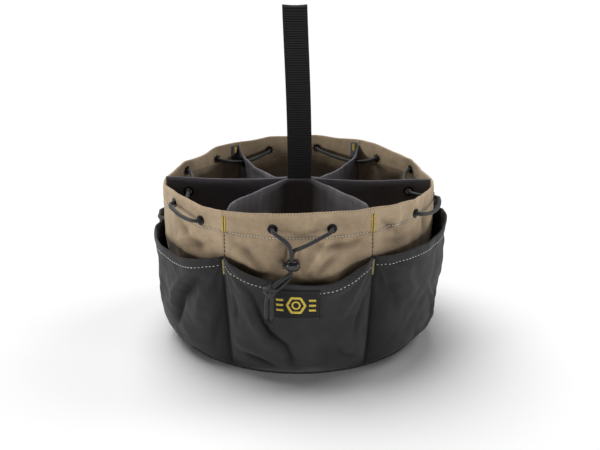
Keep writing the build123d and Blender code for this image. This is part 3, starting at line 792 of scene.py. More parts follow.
drawstring_route = [
    polar(141.5, -77.2, 157.0), polar(134.5, -77.2, 157.0),
    polar(126.7, -70.6, 152.0), polar(117.3, -63.0, 149.0),
    polar(117.5, -55.2, 149.0), polar(123.0, -45.7, 150.5),
    polar(134.5, -36.0, 153.0), polar(149.5, -36.0, 153.0),
    polar(151.5, -27.5, 148.5), polar(151.5, -18.0, 146.8),
    polar(149.5, -9.0, 150.0), polar(134.5, -9.0, 150.0),
    polar(117.7, -3.9, 149.2), polar(116.9, 3.9, 149.0),
    polar(118.9, 16.1, 150.5), polar(134.5, 26.8, 154.0),
    polar(149.5, 26.8, 154.0), polar(151.5, 34.5, 149.5),
    polar(151.3, 42.0, 149.3), polar(149.5, 49.7, 154.0),
    polar(134.5, 49.7, 154.0), polar(128.1, 56.0, 149.4),
    polar(126.4, 63.1, 149.0), polar(128.7, 72.1, 152.3),
    polar(134.5, 81.3, 158.0), polar(149.5, 81.3, 158.0),
    polar(151.5, 89.0, 152.5), polar(151.3, 97.0, 151.5),
    polar(149.5, 104.3, 156.0), polar(134.5, 104.3, 156.0),
    polar(130.7, 110.4, 151.8), polar(126.7, 116.8, 149.0),
    polar(127.9, 124.0, 149.2), polar(134.5, 132.3, 154.0),
    polar(149.5, 132.3, 154.0), polar(151.3, 139.3, 149.4),
    polar(151.3, 146.4, 149.0), polar(149.5, 153.3, 153.0),
    polar(134.5, 153.3, 153.0), polar(119.2, 163.9, 150.3),
    polar(117.1, 176.1, 149.0), polar(117.5, -176.1, 149.2),
    polar(120.7, -161.7, 153.6), polar(134.5, -150.1, 160.0),
    polar(149.5, -150.1, 160.0), polar(152.0, -144.0, 158.0),
    polar(152.0, -137.5, 155.0), polar(149.5, -131.5, 154.0),
    polar(134.5, -131.5, 154.0), polar(118.3, -124.7, 149.3),
    polar(116.5, -117.0, 149.0), polar(122.7, -108.3, 151.8),
    polar(134.5, -99.8, 157.0), polar(141.5, -99.8, 157.0),
]
left_end_route = [
    polar(141.5, -99.8, 157.0), polar(149.8, -99.8, 157.0),
    metres(-16.0, -151.6, 151.5), metres(-8.2, -152.2, 145.0),
    metres(-6.3, -151.65, 135.5), metres(-6.3, -151.65, 116.5),
    metres(-11.8, -156.4, 114.5), metres(-19.2, -162.4, 111.2),
    metres(-26.6, -164.6, 105.4), metres(-29.8, -163.0, 96.0),
    metres(-30.6, -162.0, 84.5), metres(-30.0, -161.5, 73.5),
]
right_end_route = [
    polar(141.5, -77.2, 157.0), polar(149.8, -77.2, 157.0),
    metres(22.6, -150.6, 152.6), metres(10.8, -151.6, 146.0),
    metres(0.6, -150.2, 140.6), metres(-6.3, -147.75, 137.6),
    metres(-6.3, -147.75, 114.9), metres(-9.6, -154.2, 110.6),
    metres(-16.8, -161.9, 106.9), metres(-24.2, -163.2, 101.4),
    metres(-25.6, -162.6, 91.6), metres(-25.2, -162.0, 82.0), metres(-26.0, -161.6, 72.4),
]


def make_knot(middle):
    """An overhand knot: two turns round both cords and a pass tucked under them."""
    turns, samples, size, rise = 2.2, 90, 3.9, 8.4
    points = []
    for i in range(samples):
        t = i / (samples - 1)
        angle = 2 * math.pi * turns * t + 0.6
        wide = size * (1 + 0.10 * math.sin(3.1 * angle))
        points.append((wide * math.cos(angle), 0.82 * wide * math.sin(angle), rise * (t - 0.5)))
    first, last = points[0], points[-1]
    points = [(first[0] * 0.2, first[1] * 0.1, first[2] - 2.0)] + points
    points.append((last[0] * 0.3 - 1.4, last[1] * 0.2 - 2.6, last[2] - 1.0))
    points.append((1.9, -4.6, -0.6))
    points.append((2.6, -2.6, -rise / 2 - 1.6))
    lean = math.radians(28)
    cosine, sine = math.cos(lean), math.sin(lean)
    turned_points = [(x * cosine + z * sine, y, z * cosine - x * sine) for x, y, z in points]
    line = np.array(turned_points) + middle
    return tube("cord_knot", line, cord_diameter * 0.97)


def make_tuft(name, end, before, seed):
    """The frayed end of a cord: fine fibres that spread a little."""
    draw, fibres = random.Random(seed), 46
    along = (end - before) / np.linalg.norm(end - before)
    starts, ends = [], []
    for _ in range(fibres):
        lean = np.array([draw.uniform(-1, 1) for _ in range(3)])
        base = end - along * 1.4 + lean * 1.1
        starts.append(base)
        ends.append(base + (along + lean * 0.42) * draw.uniform(2.6, 4.4))
    return stitches(name, [(starts, ends, 0.42, 0)], [cord_nylon])


def make_cords():
    held = route_line(drawstring_route)
    place(tube("drawstring_cord", held / MM, cord_diameter), "bag", "cord", "drawstring")
    knot_low, knot_high = low("drawstring_knot"), high("drawstring_knot")
    knot = place(make_knot((knot_low + knot_high) / 2), "bag", "cord", "drawstring_knot")
    for side, route, exit_azimuth, extra in (("left", left_end_route, -99.8, [knot]),
                                             ("right", right_end_route, -77.2, [])):
        line = route_line(route)
        end = place(tube(f"cord_end_{side}", line / MM, cord_diameter),
                    "bag", "cord", f"drawstring_end_{side}")
        tuft = place(make_tuft(f"cord_tuft_{side}", line[-1] / MM, line[-4] / MM, len(side)),
                     "bag", "cord")


# ---- walls ------------------------------------------------------------------

kinks = sorted([a for a, _ in eyelets] + [-180.0, -120.0, -60.0, 0.0, 60.0, 120.0])
broad_waves, fine_waves = (26, 1), (11, 2)    # size in millimetres, seed


def rim_flat(azimuth):
    """How far the rim runs inside its circle, where it is drawn straight between kinks."""
    at = turned(azimuth, 0)
    places = np.array(kinks + [180.0])
    i = np.clip(np.searchsorted(places, at, side="right") - 1, 0, len(places) - 2)
    span = places[i + 1] - places[i]
    t = (at - places[i]) / span
    sagitta = rim_radius * (1 - np.cos(np.radians(span / 2)))
    full = 1 - 0.9 * np.exp(-(turned(azimuth, -170) / 16) ** 2)
    return sagitta * 0.85 * 4 * t * (1 - t) * full


def near_metal(azimuth, height):
    """1 at an eyelet, fading to 0 a little way from it."""
    arc = math.radians(1) * rim_radius
    most = np.zeros(np.shape(azimuth))
    for a, h in eyelets:
        away = np.hypot(turned(azimuth, a) * arc, height - h)
        most = np.maximum(most, 1 - ease(away, 5.4, 13.0))
    return most


def wall_radius(height):
    share = np.clip((np.asarray(height, float) - wall_bottom) / (straight_above - wall_bottom), 0, 1)
    return base_radius + (rim_radius - base_radius) * share


def wall_swell(azimuth, height):
    """How far the canvas stands out of its plain shape, in millimetres."""
    seam = from_seam(azimuth)
    upper = ease(height, 104, 162)
    calm = ease(np.abs(seam), 3, 22)
    swell = -rim_flat(azimuth) * ease(height, 112, 160)
    # uneven cloth, broad and fine, and its folds, all of them still near a seam
    swell = swell + calm * (1.5 - 0.5 * upper) * cloud(azimuth, height, *broad_waves)
    swell = swell + calm * 0.85 * cloud(azimuth, height, *fine_waves)
    swell = swell + 1.55 * folded(azimuth, height, wall_folds) * ease(np.abs(seam), 1, 9)
    # the front sags over its pocket, right of the cord lock
    sag = np.exp(-(turned(azimuth, -76) / 11) ** 2 - ((height - 108) / 12) ** 2)
    swell = swell + 3.4 * sag
    swell = swell * (1 - near_metal(azimuth, height))
    lock_room = 1 - np.exp(-(turned(azimuth, -92.4) / 5.5) ** 2 - ((height - 124) / 12) ** 2)
    swell = np.where(swell > 0, swell * lock_room, swell)
    # puckers along the hem's stitches
    pucker_pitch = 6.6
    pucker = np.sin(np.radians(azimuth) * rim_radius * 2 * math.pi / pucker_pitch) * 0.16
    line = np.exp(-((height - hem_bottom) / 1.5) ** 2)
    swell = swell - line * (0.5 + pucker)
    swell = swell - seam_groove * np.exp(-(seam / 1.5) ** 2)
    return swell


def wall_place(azimuth, height, out=0.0):
    """A point on the wall's outside; height is along the cloth, and the rim rises and falls."""
    azimuth, height = np.broadcast_arrays(np.asarray(azimuth, float), np.asarray(height, float))
    top = through(rim_line, azimuth)
    real = np.where(height > hem_bottom,
                    hem_bottom + (height - hem_bottom) * (top - hem_bottom) / (wall_top - hem_bottom),
                    height)
    return from_axis(wall_radius(real) + wall_swell(azimuth, real) + out, azimuth, real)


def panel_columns(middle):
    """Azimuths across a panel: close together at its seams."""
    width, step, first = math.radians(panel_angle) * rim_radius, 1.5, 5.4
    edge = np.array([0.0, 0.5, 1.1, 1.9, 2.9, 4.1])
    inner = np.linspace(first, width - first, int((width - 2 * first) / step))
    places = np.concatenate([edge, inner, width - edge[::-1]])
    return middle - panel_angle / 2 + places / width * panel_angle


def make_wall(panel, middle):
    columns = panel_columns(middle)
    rows = np.concatenate([
        np.arange(wall_bottom, 96, 4.0), np.arange(96, hem_bottom - 2.4, 1.7),
        hem_bottom + np.array([-1.8, -1.0, -0.5, 0.0, 0.5, 1.0, 1.8]),
        np.arange(hem_bottom + 3.2, wall_top - 1.0, 1.5), [wall_top - 0.6]])
    azimuth, height = np.meshgrid(columns, rows)
    outside = wall_place(azimuth, height)
    depth = canvas_thickness + hem_ply * ease(height, hem_bottom - 0.6, hem_bottom + 0.4)
    rest = hem_thickness - canvas_thickness - hem_ply
    depth = depth + rest * ease(height, hem_bottom, hem_bottom + 6)
    depth = depth + 0.16 * cloud(azimuth, height, 8, 5)
    inside = wall_place(azimuth, height, -depth)
    uv = cloth_uv(azimuth, height)
    # painted shade and painted light: darker in the folds' valleys and the cloth's dents, lighter on its
    # ridges and bulges, darker along the hem's stitch groove, lighter towards the rim's top edge, and a
    # painted shadow on the wall just above the pocket lip
    wear_and_painted_shading = 0.14 * folded(azimuth, height, wall_folds)
    wear_and_painted_shading = wear_and_painted_shading + 0.16 * cloud(azimuth, height, *broad_waves)
    wear_and_painted_shading = wear_and_painted_shading + 0.10 * cloud(azimuth, height, *fine_waves)
    wear_and_painted_shading = wear_and_painted_shading - 0.22 * np.exp(-((height - hem_bottom) / 1.6) ** 2) + 0.16 * ease(height, 164, wall_top)
    lip = through(pocket_line, azimuth)
    wear_and_painted_shading = wear_and_painted_shading - 0.24 * (1 - ease(height - lip, -2, 9))
    wall = shell(f"canvas_{panel}", outside, inside, uv, canvas, wear_and_painted_shading=np.clip(wear_and_painted_shading, -0.5, 0.5))
    holes = []
    for a, h in eyelets:
        if abs(turned(a, middle)) < panel_angle / 2:
            direction = from_axis(1.0, np.array(a), 0.0)
            holes.append((from_axis(rim_radius - 1.5, np.array(a), h), direction, eyelet_hole, 8.0))
    cut_holes(wall, holes)
    place(wall, "bag", "canvas", f"wall_{panel}")


def make_wall_stitches():
    """Hem stitching round the rim and the sewing down each seam.
    Each group holds the dashes of one line, the thread's thickness and its number."""
    groups = []
    for middle in panels.values():
        at = np.linspace(middle - 28.4, middle + 28.4, 200)
        line = wall_place(at, hem_bottom - 0.2, 0.2)
        groups.append((*dashes(line, 1.9, 3.2), 0.78, 3))
        inner = wall_place(at, hem_bottom + 1.8, -hem_thickness - 0.1)
        groups.append((*dashes(inner), 0.6, 0))
        inner = wall_place(at, hem_bottom + 4.2, -hem_thickness - 0.1)
        groups.append((*dashes(inner), 0.6, 0))
    for middle in panels.values():
        seam = middle - panel_angle / 2
        height = np.linspace(6, 150, 160)
        groups.append((*dashes(wall_place(seam, height, 0.45), 2.6, 4.0), 1.3, 1))
        inner = wall_place(seam + 1.3, height, -canvas_thickness - 0.1)
        groups.append((*dashes(inner, 2.0, 3.0), 0.7, 2))
    sew("wall_stitching", groups, [tan_thread, brown_thread, ochre_thread, cream_thread])


# ---- pockets ----------------------------------------------------------------

broad_creases, fine_creases = (24, 7), (10, 8)    # size in millimetres, seed


def pocket_swell(azimuth, height):
    """How far a pocket stands away from the wall."""
    share = (np.asarray(azimuth, float) % panel_angle) / panel_angle
    across = np.abs(2 * share - 1)
    heights, gaps = [h for h, _ in pocket_gap], [g for _, g in pocket_gap]
    gap = np.interp(height, heights, gaps)
    # the front left pocket lies closer near its outer seam
    gap = gap * (1 - 0.22 * np.exp(-(turned(azimuth, -171) / 13) ** 2) * ease(height, 50, 105))
    sharp = 4.2 + 1.4 * ease(height, 10, 60)
    swell = 0.15 + gap * (1 - across**sharp)
    seam = from_seam(azimuth)
    calm = ease(np.abs(seam), 2, 16) * ease(height, 3, 14)
    # the label keeps the cloth under it flat
    patch = (1 - ease(np.abs(turned(azimuth, -90.9)), 7.6, 11.5)) * (
        ease(height, 58, 66) * (1 - ease(height, 103, 109)))
    still = 1 - 0.85 * patch
    uneven = (1.7 * cloud(azimuth, height, *broad_creases)
              + 0.8 * cloud(azimuth, height, *fine_creases))
    swell = swell + calm * still * uneven
    swell = swell + 1.3 * folded(azimuth, height, pocket_folds) * calm * still
    # small creases fan out from each bartack
    tack = 118
    fan = np.arctan2(np.abs(seam), np.maximum(tack - height, 0.5) + 4)
    reach = np.hypot(seam, tack - height)
    ripple = np.sin(fan * 17 + 1.3) * np.exp(-((reach - 22) / 22) ** 2)
    swell = swell + 0.85 * ripple * ease(np.abs(seam), 1.5, 6)
    swell = swell - 0.8 * np.exp(-(seam / 1.6) ** 2)
    return np.maximum(swell, 0.12)


def pocket_place(azimuth, height, out=0.0):
    """A point on the pocket's outside, out millimetres beyond it."""
    azimuth, height = np.broadcast_arrays(np.asarray(azimuth, float), np.asarray(height, float))
    rounded = 0.8 * (1 - ease(height, 1.0, 8.0))
    radius = wall_radius(height) + pocket_swell(azimuth, height) + pocket_cloth - rounded
    return from_axis(radius + out, azimuth, height)


def rows_below(top, bottom, below, count):
    """Rows of heights from the bottom up: even ones first, then these drops below the top."""
    even = [bottom + share * (top - below[0] - bottom) for share in np.linspace(0, 1, count)[:-1]]
    return np.array(even + [top - drop for drop in below])


def make_pocket(panel, middle):
    columns = panel_columns(middle)
    top = through(pocket_line, columns)
    bottom = binding_top - 2.2
    below = [14.0, 12.4, 11.0, 9.8, 9.0, 8.4, 8.0, 7.6, 7.0, 6.2, 5.0, 3.8, 2.6, 1.4, 0.4]
    height = rows_below(top, bottom, below, 52)
    azimuth = np.broadcast_to(columns, height.shape)
    drop = top - height
    line = np.exp(-((drop - pocket_hem) / 1.1) ** 2)
    fold = 1 - ease(drop, pocket_hem - 0.4, pocket_hem + 0.6)
    outside = pocket_place(azimuth, height, 0.35 * fold - 0.45 * line)
    inside = pocket_place(azimuth, height, -pocket_cloth - 0.55 * fold)
    uv = cloth_uv(azimuth, height)
    seam = from_seam(azimuth)
    # painted shade and painted light: darker in the folds' valleys and the cloth's dents, lighter on its
    # ridges, darker at the seams and along the hem's stitch line, and darker towards the bottom where
    # the pocket rounds under
    wear_and_painted_shading = 0.17 * folded(azimuth, height, pocket_folds) * ease(np.abs(seam), 0, 6)
    wear_and_painted_shading = wear_and_painted_shading + 0.20 * cloud(azimuth, height, *broad_creases)
    wear_and_painted_shading = wear_and_painted_shading + 0.10 * cloud(azimuth, height, *fine_creases)
    wear_and_painted_shading = wear_and_painted_shading - 0.35 * np.exp(-(seam / 1.8) ** 2) - 0.15 * line - 0.3 * (1 - ease(height, 3, 16))
    pocket = shell(f"pouch_{panel}", outside, inside, uv, charcoal, wear_and_painted_shading=np.clip(wear_and_painted_shading, -0.5, 0.5))
    place(pocket, "bag", "pocket_cloth", f"pocket_{panel}")


def make_pocket_stitches():
    groups = []
    for middle in panels.values():
        at = np.linspace(middle - 29.5, middle + 29.5, 220)
        line = pocket_place(at, through(pocket_line, at) - pocket_hem, 0.02)
        groups.append((*dashes(line, 2.1, 4.1), 0.8, 0))
        seam = middle - panel_angle / 2
        height = np.linspace(6, 103, 120)
        groups.append((*dashes(pocket_place(seam, height, 0.1), 2.0, 3.1), 0.6, 1))
    sew("pocket_stitching", groups, [cream_thread, black_thread])


# ---- bartacks and tabs ------------------------------------------------------


def satin(place_at, columns, bottom, top, pitch, slant, thickness, number):
    """Dense threads across a column between two azimuths; place_at turns both into points."""
    first, last = columns
    heights = np.arange(bottom, top, pitch)
    back = heights + slant
    starts = place_at(np.full(len(heights), first), heights)
    ends = place_at(np.full(len(heights), last), back)
    flip = np.arange(len(heights)) % 2 == 1
    starts[flip], ends[flip] = ends[flip].copy(), starts[flip].copy()
    return (starts, ends, thickness, number)


def make_bartacks():
    """Rim tacks: two yellow columns with a dark middle. Pocket tacks: pale and black zigzags."""
    degree = 1 / (math.radians(1) * rim_radius)    # degrees for each millimetre round the rim
    out = 0.55
    rim_groups, pocket_groups = [], []
    tack_low, tack_high = low("rim_bartacks")[2], high("rim_bartacks")[2]
    pouch_low, pouch_high = low("pocket_bartacks")[2], high("pocket_bartacks")[2]
    for middle in panels.values():
        seam = middle - panel_angle / 2
        top = min(tack_high, float(through(rim_line, seam)) - 2.0)

        def rim_at(a, z):
            return wall_place(a, z, out)

        def pouch_at(a, z):
            return pocket_place(a, z, out)

        rim_groups.append(satin(rim_at, (seam - 2.1 * degree, seam - 0.35 * degree),
                                tack_low, top - 1, 0.85, 0.6, 0.75, 0))
        rim_groups.append(satin(rim_at, (seam - 1.5 * degree, seam - 0.2 * degree),
                                tack_low + 0.4, top - 1, 1.7, 0.9, 0.6, 1))
        rim_groups.append(satin(rim_at, (seam + 0.3 * degree, seam + 2.0 * degree),
                                tack_low, top - 2, 0.72, 0.6, 0.75, 0))
        rim_groups.append((*dashes(wall_place(seam, np.linspace(tack_low, top - 1, 30), 0.95),
                                   1.6, 2.5), 0.7, 2))
        pocket_groups.append(satin(pouch_at, (seam - 1.15 * degree, seam + 1.05 * degree),
                                   pouch_low, pouch_high - 0.6, 1.35, 1.1, 0.62, 0))
        pocket_groups.append(satin(pouch_at, (seam - 1.05 * degree, seam + 0.95 * degree),
                                   pouch_low + 0.7, pouch_high - 0.6, 1.35, 0.5, 0.66, 1))
        pocket_groups.append((*dashes(pocket_place(seam - 0.9 * degree,
                                                   np.linspace(pouch_low, pouch_high, 30), 0.9),
                                      1.4, 2.4), 0.5, 0))
    sew("rim_tacks", rim_groups, [yellow_thread, ochre_thread, black_thread], "rim_bartacks")
    sew("pocket_tacks", pocket_groups, [pale_thread, black_thread], "pocket_bartacks")


def make_tabs():
    """Folded ends of the dividers, sewn flat inside the hem beside each seam."""
    width, thick = 9.0, 1.5
    middle_turn = math.degrees(5.6 / rim_radius)
    groups, parts = [], []
    across = np.linspace(-width / 2, width / 2, 15)
    for middle in panels.values():
        seam = middle - panel_angle / 2
        top = min(tab_top, float(through(rim_line, seam)) - 1.6)
        heights = np.linspace(tab_bottom, top, 22)
        azimuth, height = np.meshgrid(seam + middle_turn + np.degrees(across / rim_radius), heights)
        edge = np.minimum(np.abs(np.abs(across) - width / 2), 1.2) / 1.2
        plump = thick * (0.35 + 0.65 * np.sqrt(edge))[None, :] + 0.15 * cloud(azimuth, height, 4, 12)
        outer = wall_place(azimuth, height, -hem_thickness - 0.05)
        inner = wall_place(azimuth, height, -hem_thickness - 0.05 - plump)
        uv = cloth_uv(azimuth, height)
        parts.append(shell("tab", inner, outer, uv, divider_cloth, 0.3))

        def tab_at(a, z):
            return wall_place(a, z, -hem_thickness - thick - 0.25)

        centre = seam + middle_turn
        half = math.degrees(1.5 / rim_radius)
        groups.append(satin(tab_at, (centre - half, centre + half), top - 8.5, top - 1.2,
                            0.62, 0.5, 0.8, 0))
    tabs = joined("divider_tabs", parts)
    place(tabs, "bag", "divider_cloth", "seam_tabs")
    sew("tab_tacks", groups, [yellow_thread])


def joined(name, parts):
    """Several meshes as one piece."""
    whole = bmesh.new()
    for part in parts:
        whole.from_mesh(part.data)
    mesh = bpy.data.meshes.new(name)
    whole.to_mesh(mesh)
    whole.free()
    for material in parts[0].data.materials:
        mesh.materials.append(material)
    for part in parts:
        old = part.data
        bpy.data.objects.remove(part)
        bpy.data.meshes.remove(old)
    piece = bpy.data.objects.new(name, mesh)
    bpy.context.scene.collection.objects.link(piece)
    return piece


# ---- dividers ---------------------------------------------------------------

inner_wall = rim_radius - 2.0


def rounded_plan(corners):
    """A plan line with its corners rounded, as evenly spaced points."""
    reach, share, step = 9.0, 0.22, 1.8
    points = [np.array(corners[0], float)]
    for a, b, c in zip(corners, corners[1:], corners[2:]):
        a, b, c = (np.array(p, float) for p in (a, b, c))
        for t in np.linspace(0, 1, 7):
            before, after = (b + (end - b) * min(1, reach / np.linalg.norm(end - b)) * share * 2
                             for end in (a, c))
            points.append((1 - t) ** 2 * before + 2 * t * (1 - t) * b + t * t * after)
    points.append(np.array(corners[-1], float))
    return evenly(np.array([(*p, 0.0) for p in points]), step)[:, :2]


def divider_sheet(name, plan, top_at, seed, sway=1.2):
    """A cloth sheet that stands on a plan line; top_at gives its height from its points."""
    normal = np.gradient(plan, axis=0)
    normal = unit(np.stack([-normal[:, 1], normal[:, 0]], -1))
    run = run_of(plan)
    distance = np.linalg.norm(plan, axis=1)
    top = top_at(plan)
    below = [11.0, 9.0, 7.2, 6.0, 5.4, 5.0, 4.6, 3.8, 2.8, 1.8, 0.9, 0.3]
    height = rows_below(top, board_top + 0.3, below, 40)
    drop = top - height
    free = ease(distance, flat_half + 4, flat_half + 34) * (1 - ease(distance, 118, 138))
    waves, fine = (
        np.array([[noise.noise((r / wide + seed, z / tall, seed * turn)) for r in run]
                  for z in height[:, 0]])
        for wide, tall, turn in ((34, 60, 3.1), (9, 26, 5.3)))
    shift = free * (sway * 2.2 * waves + 0.5 * fine) * ease(height, board_top, board_top + 40)
    fold = 1 - ease(drop, 4.6, 5.6)
    line = np.exp(-((drop - 5.0) / 0.8) ** 2)
    half = divider_thickness / 2 + 0.42 * fold - 0.25 * line * fold

    def side(sign):
        offset = shift + sign * half
        x = plan[None, :, 0] + normal[None, :, 0] * offset
        y = plan[None, :, 1] + normal[None, :, 1] * offset
        pull = np.minimum(1, (wall_radius(height) - 2.0) / np.hypot(x, y))
        return np.stack([x * pull, y * pull, height], -1)

    uv = np.stack([np.broadcast_to(run, height.shape) * MM, height * MM], -1)
    return shell(name, side(-1), side(1), uv, divider_cloth, 0.5)


def arm_points(side, ahead):
    start = np.array([side * flat_half, ahead * flat_ahead])
    angle = math.radians(60)
    end = np.array([side * inner_wall * math.cos(angle), ahead * inner_wall * math.sin(angle)])
    return start, end


def grommet_cuts(ahead):
    """Holes of the two grommets of a V divider, or of the cross divider where ahead is 0."""
    if ahead == 0:
        spot = inner_wall - front_grommet_inset
        return [((side * spot, 0, grommet_height), (0, 1, 0), grommet_hole, 5.0) for side in (-1, 1)]
    inset = front_grommet_inset if ahead < 0 else back_grommet_inset
    cuts = []
    for side in (-1, 1):
        start, end = arm_points(side, ahead)
        along = (end - start) / np.linalg.norm(end - start)
        spot = end - along * inset
        cuts.append(((spot[0], spot[1], grommet_height), (-along[1], along[0], 0), grommet_hole, 5.0))
    return cuts


def front_top(plan):
    reach = np.abs(plan[:, 0])
    last = inner_wall * 0.5
    table_x = [0, flat_half, 22, 38, 54, last - 5.5, last - 2.5, last]
    table_z = [0, 0, 1.6, 4.6, 7.2, 8.2, 4.0, -3.5]
    return divider_centre_top + np.interp(reach, table_x, table_z)


def back_top(plan):
    distance = np.linalg.norm(plan, axis=1)
    table_r = [0, 14, 20, 34, 64, 95, 116, 124, 130, 134.5, 138, 141]
    table_z = [163, 163, 160.5, 156, 152.5, 150.4, 153.6, 154.6, 156.4, 159.6, 163.6, 166.5]
    return divider_centre_top - 163.0 + np.interp(distance, table_r, table_z)


def cross_top(plan):
    return divider_centre_top - 0.012 * plan[:, 0] - 2.2 * np.sin(
        np.clip(np.abs(plan[:, 0]) / inner_wall, 0, 1) * math.pi) ** 2


def make_dividers():
    for name, ahead, top, seed in (("front", -1, front_top, 1.7), ("back", 1, back_top, 4.2)):
        left_start, left_end = arm_points(-1, ahead)
        right_start, right_end = arm_points(1, ahead)
        corners = [left_end, left_start, right_start, right_end]
        plan = rounded_plan(corners)[::-ahead]
        piece = divider_sheet(f"{name}_divider", plan, top, seed)
        cut_holes(piece, grommet_cuts(ahead))
        place(piece, "bag", "divider_cloth", f"divider_{name}")
    plan = rounded_plan([(-inner_wall + 0.4, 0), (0, 0), (inner_wall - 0.4, 0)])
    piece = divider_sheet("cross_divider", plan, cross_top, 8.6, 0.9)
    cut_holes(piece, grommet_cuts(0))
    place(piece, "bag", "divider_cloth", "divider_cross")


# ---- base -------------------------------------------------------------------


def make_base():
    """The fabric bottom with its folded edge, and the binding round it."""
    around = 216
    turn = np.arange(around) * 360.0 / around
    rows = [(0.0, 0.9), (20, 0.9), (50, 0.8), (80, 0.7), (104, 0.5), (116, 0.3), (123, 0.2),
            (base_radius - 3.0, 0.25), (base_radius - 1.6, 0.6), (base_radius - 1.2, 1.2),
            (base_radius - 1.5, 1.8), (base_radius - 3, base_top), (110, base_top), (0.0, base_top)]
    rings = []
    for radius, height in rows:
        rings.append(from_axis(np.full(around, max(radius, 0.4)), turn, np.full(around, height)))
    points = np.array(rings)
    places, heights = np.tile(turn, (4, 1)), np.arange(4)[:, None] * 20 + 0 * turn
    points[2:6, :, 2] += 0.3 * cloud(places, heights, 14, 20)
    points[:, :, 2] = np.clip(points[:, :, 2], 0.05, base_top)
    faces = tube_faces(len(rows), around, flip=True)
    uv = points[..., :2] * MM
    base = mesh_piece("base_cloth", points.reshape(-1, 3), faces, uv.reshape(-1, 2), [base_cloth])
    place(base, "bag", "base_fabric", "base_panel")

    # the binding: a rounded tape round the edge, with puckers
    inner = base_radius - 1.0
    wide, tall, squareness = 2.6, binding_top - 1.4, 0.7
    section = np.linspace(0, 2 * math.pi, 15)[:-1]
    fine = 540
    turn = np.arange(fine) * 360.0 / fine
    pucker = 0.16 * np.sin(np.radians(turn) * 96) + 0.25 * cloud(turn, 0 * turn, 12, 22)
    points = []
    for angle in section:
        out, up = math.cos(angle), math.sin(angle)
        x = inner + wide / 2 + (wide / 2 + pucker * max(0, out)) * math.copysign(
            abs(out) ** squareness, out)
        z = tall / 2 + tall / 2 * math.copysign(abs(up) ** squareness, up)
        points.append(from_axis(x, turn, z))
    points = np.array(points)
    points[..., 2] = np.maximum(points[..., 2], 0.0)
    faces = grid_faces(len(section) + 1, fine, closed=True).astype(int)
    faces = faces % (len(section) * fine)
    uv = np.stack([np.broadcast_to(np.radians(turn) * base_radius * MM, points.shape[:2]),
                   np.broadcast_to((section * 3 * MM)[:, None], points.shape[:2])], -1)
    ring = mesh_piece("base_binding_tape", points.reshape(-1, 3), faces.tolist(), uv.reshape(-1, 2),
                      [binding_tape])
    place(ring, "bag", "binding", "base_binding")
    at = np.linspace(0, 360, 720)
    line = from_axis(inner + wide + 0.02 + 0.0 * at, at, 0 * at + 2.4)
    sew("binding_stitching", [(*dashes(line, 2.2, 3.2), 0.5, 0)], [black_thread])


# ---- handle -----------------------------------------------------------------


def make_handle():
    """One length of webbing: up from between the dividers, over the top fold and down again."""
    leg = low("handle_anchor")[1] + webbing_thickness / 2
    belly = (high("handle_loop")[1] - low("handle_loop")[1]) / 2 - webbing_thickness / 2
    hinge = divider_centre_top + 2.3
    fold = 3.4
    crest = handle_top - webbing_thickness / 2 - 0.35
    middle = (hinge + crest) / 2
    half = [
        (leg, handle_bottom), (leg, handle_bottom + 40), (leg, handle_bottom + 85), (leg, hinge - 6),
        (leg * 0.95, hinge + 2), (-1.0 * abs(leg) - 0.9, hinge + 16), (-belly * 0.78, middle - 42),
        (-belly, middle), (-belly * 0.92, middle + 42), (-fold - 0.5, crest - 14),
        (-fold, crest - 5), (-fold * 0.62, crest - 0.3),
    ]
    route = half + [(0.0, crest)] + [(-y, z) for y, z in reversed(half)]
    line = route_line([(0.0, y * MM, z * MM) for y, z in route]) / MM
    line = evenly(line, 0.42)
    run = run_of(line)
    tangent = unit(np.gradient(line, axis=0))
    face = np.stack([0 * run, -tangent[:, 2], tangent[:, 1]], -1)
    lean = -5.76 * ease(line[:, 2], hinge, handle_top + 60)
    bow = 0.5 * np.sin((line[:, 2] - hinge) / (handle_top - hinge) * math.pi) * (line[:, 2] > hinge)
    wide = webbing_width / 2
    # the webbing's outline: place across it, side of it, and how high its ribs stand
    flat = [(x * (wide - 0.5), 1.0, 1.0) for x in np.linspace(-1, 1, 33)]
    edge = [(wide - 0.08, 0.62, 0.6), (wide, 0.0, 0.3), (wide - 0.08, -0.62, 0.6)]
    across = np.array(flat + edge + [(x, -1.0, rib) for x, _, rib in flat[::-1]]
                      + [(-x, -side, rib) for x, side, rib in edge])
    rib_pitch = 2.45
    wobble = 0.10 * np.sin(across[:, 0] * 0.9)
    rib = np.abs(np.sin(run[:, None] * math.pi / rib_pitch + wobble[None, :])) ** 0.7
    half_thick = webbing_thickness / 2
    height = (half_thick * 0.80 + 0.52 * (rib - 0.4) * across[None, :, 2]) * across[None, :, 1]
    crown = (line[:, 2] > crest - 9)[:, None] * (across[None, :, 0] / wide) ** 2 * 0.9
    crown = crown * ease(line[:, 2], crest - 9, crest)[:, None]
    edge = 1 + 0.012 * (rib - 0.5) * (np.abs(across[None, :, 0]) > wide - 0.6)
    x = across[None, :, 0] * edge + (lean + bow)[:, None] + 1.0 * ease(line[:, 2], 100, 200)[:, None]
    y = line[:, None, 1] + face[:, None, 1] * height
    z = line[:, None, 2] + face[:, None, 2] * height + crown
    points = np.stack([x, y, z], -1)
    count, sides = points.shape[:2]
    faces = tube_faces(count, sides, flip=True)
    uv = np.stack(np.broadcast_arrays(across[None, :, 0] * MM, run[:, None] * MM), -1)
    # painted shade between the ribs and painted light on their crests
    strap = mesh_piece("handle_webbing", points.reshape(-1, 3), faces, uv.reshape(-1, 2), [webbing],
                       wear_and_painted_shading=np.broadcast_to(1.3 * (rib - 0.6), points.shape[:2]))
    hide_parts("handle_loop", "handle_anchor")
    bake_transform(strap)


# ---- label ------------------------------------------------------------------


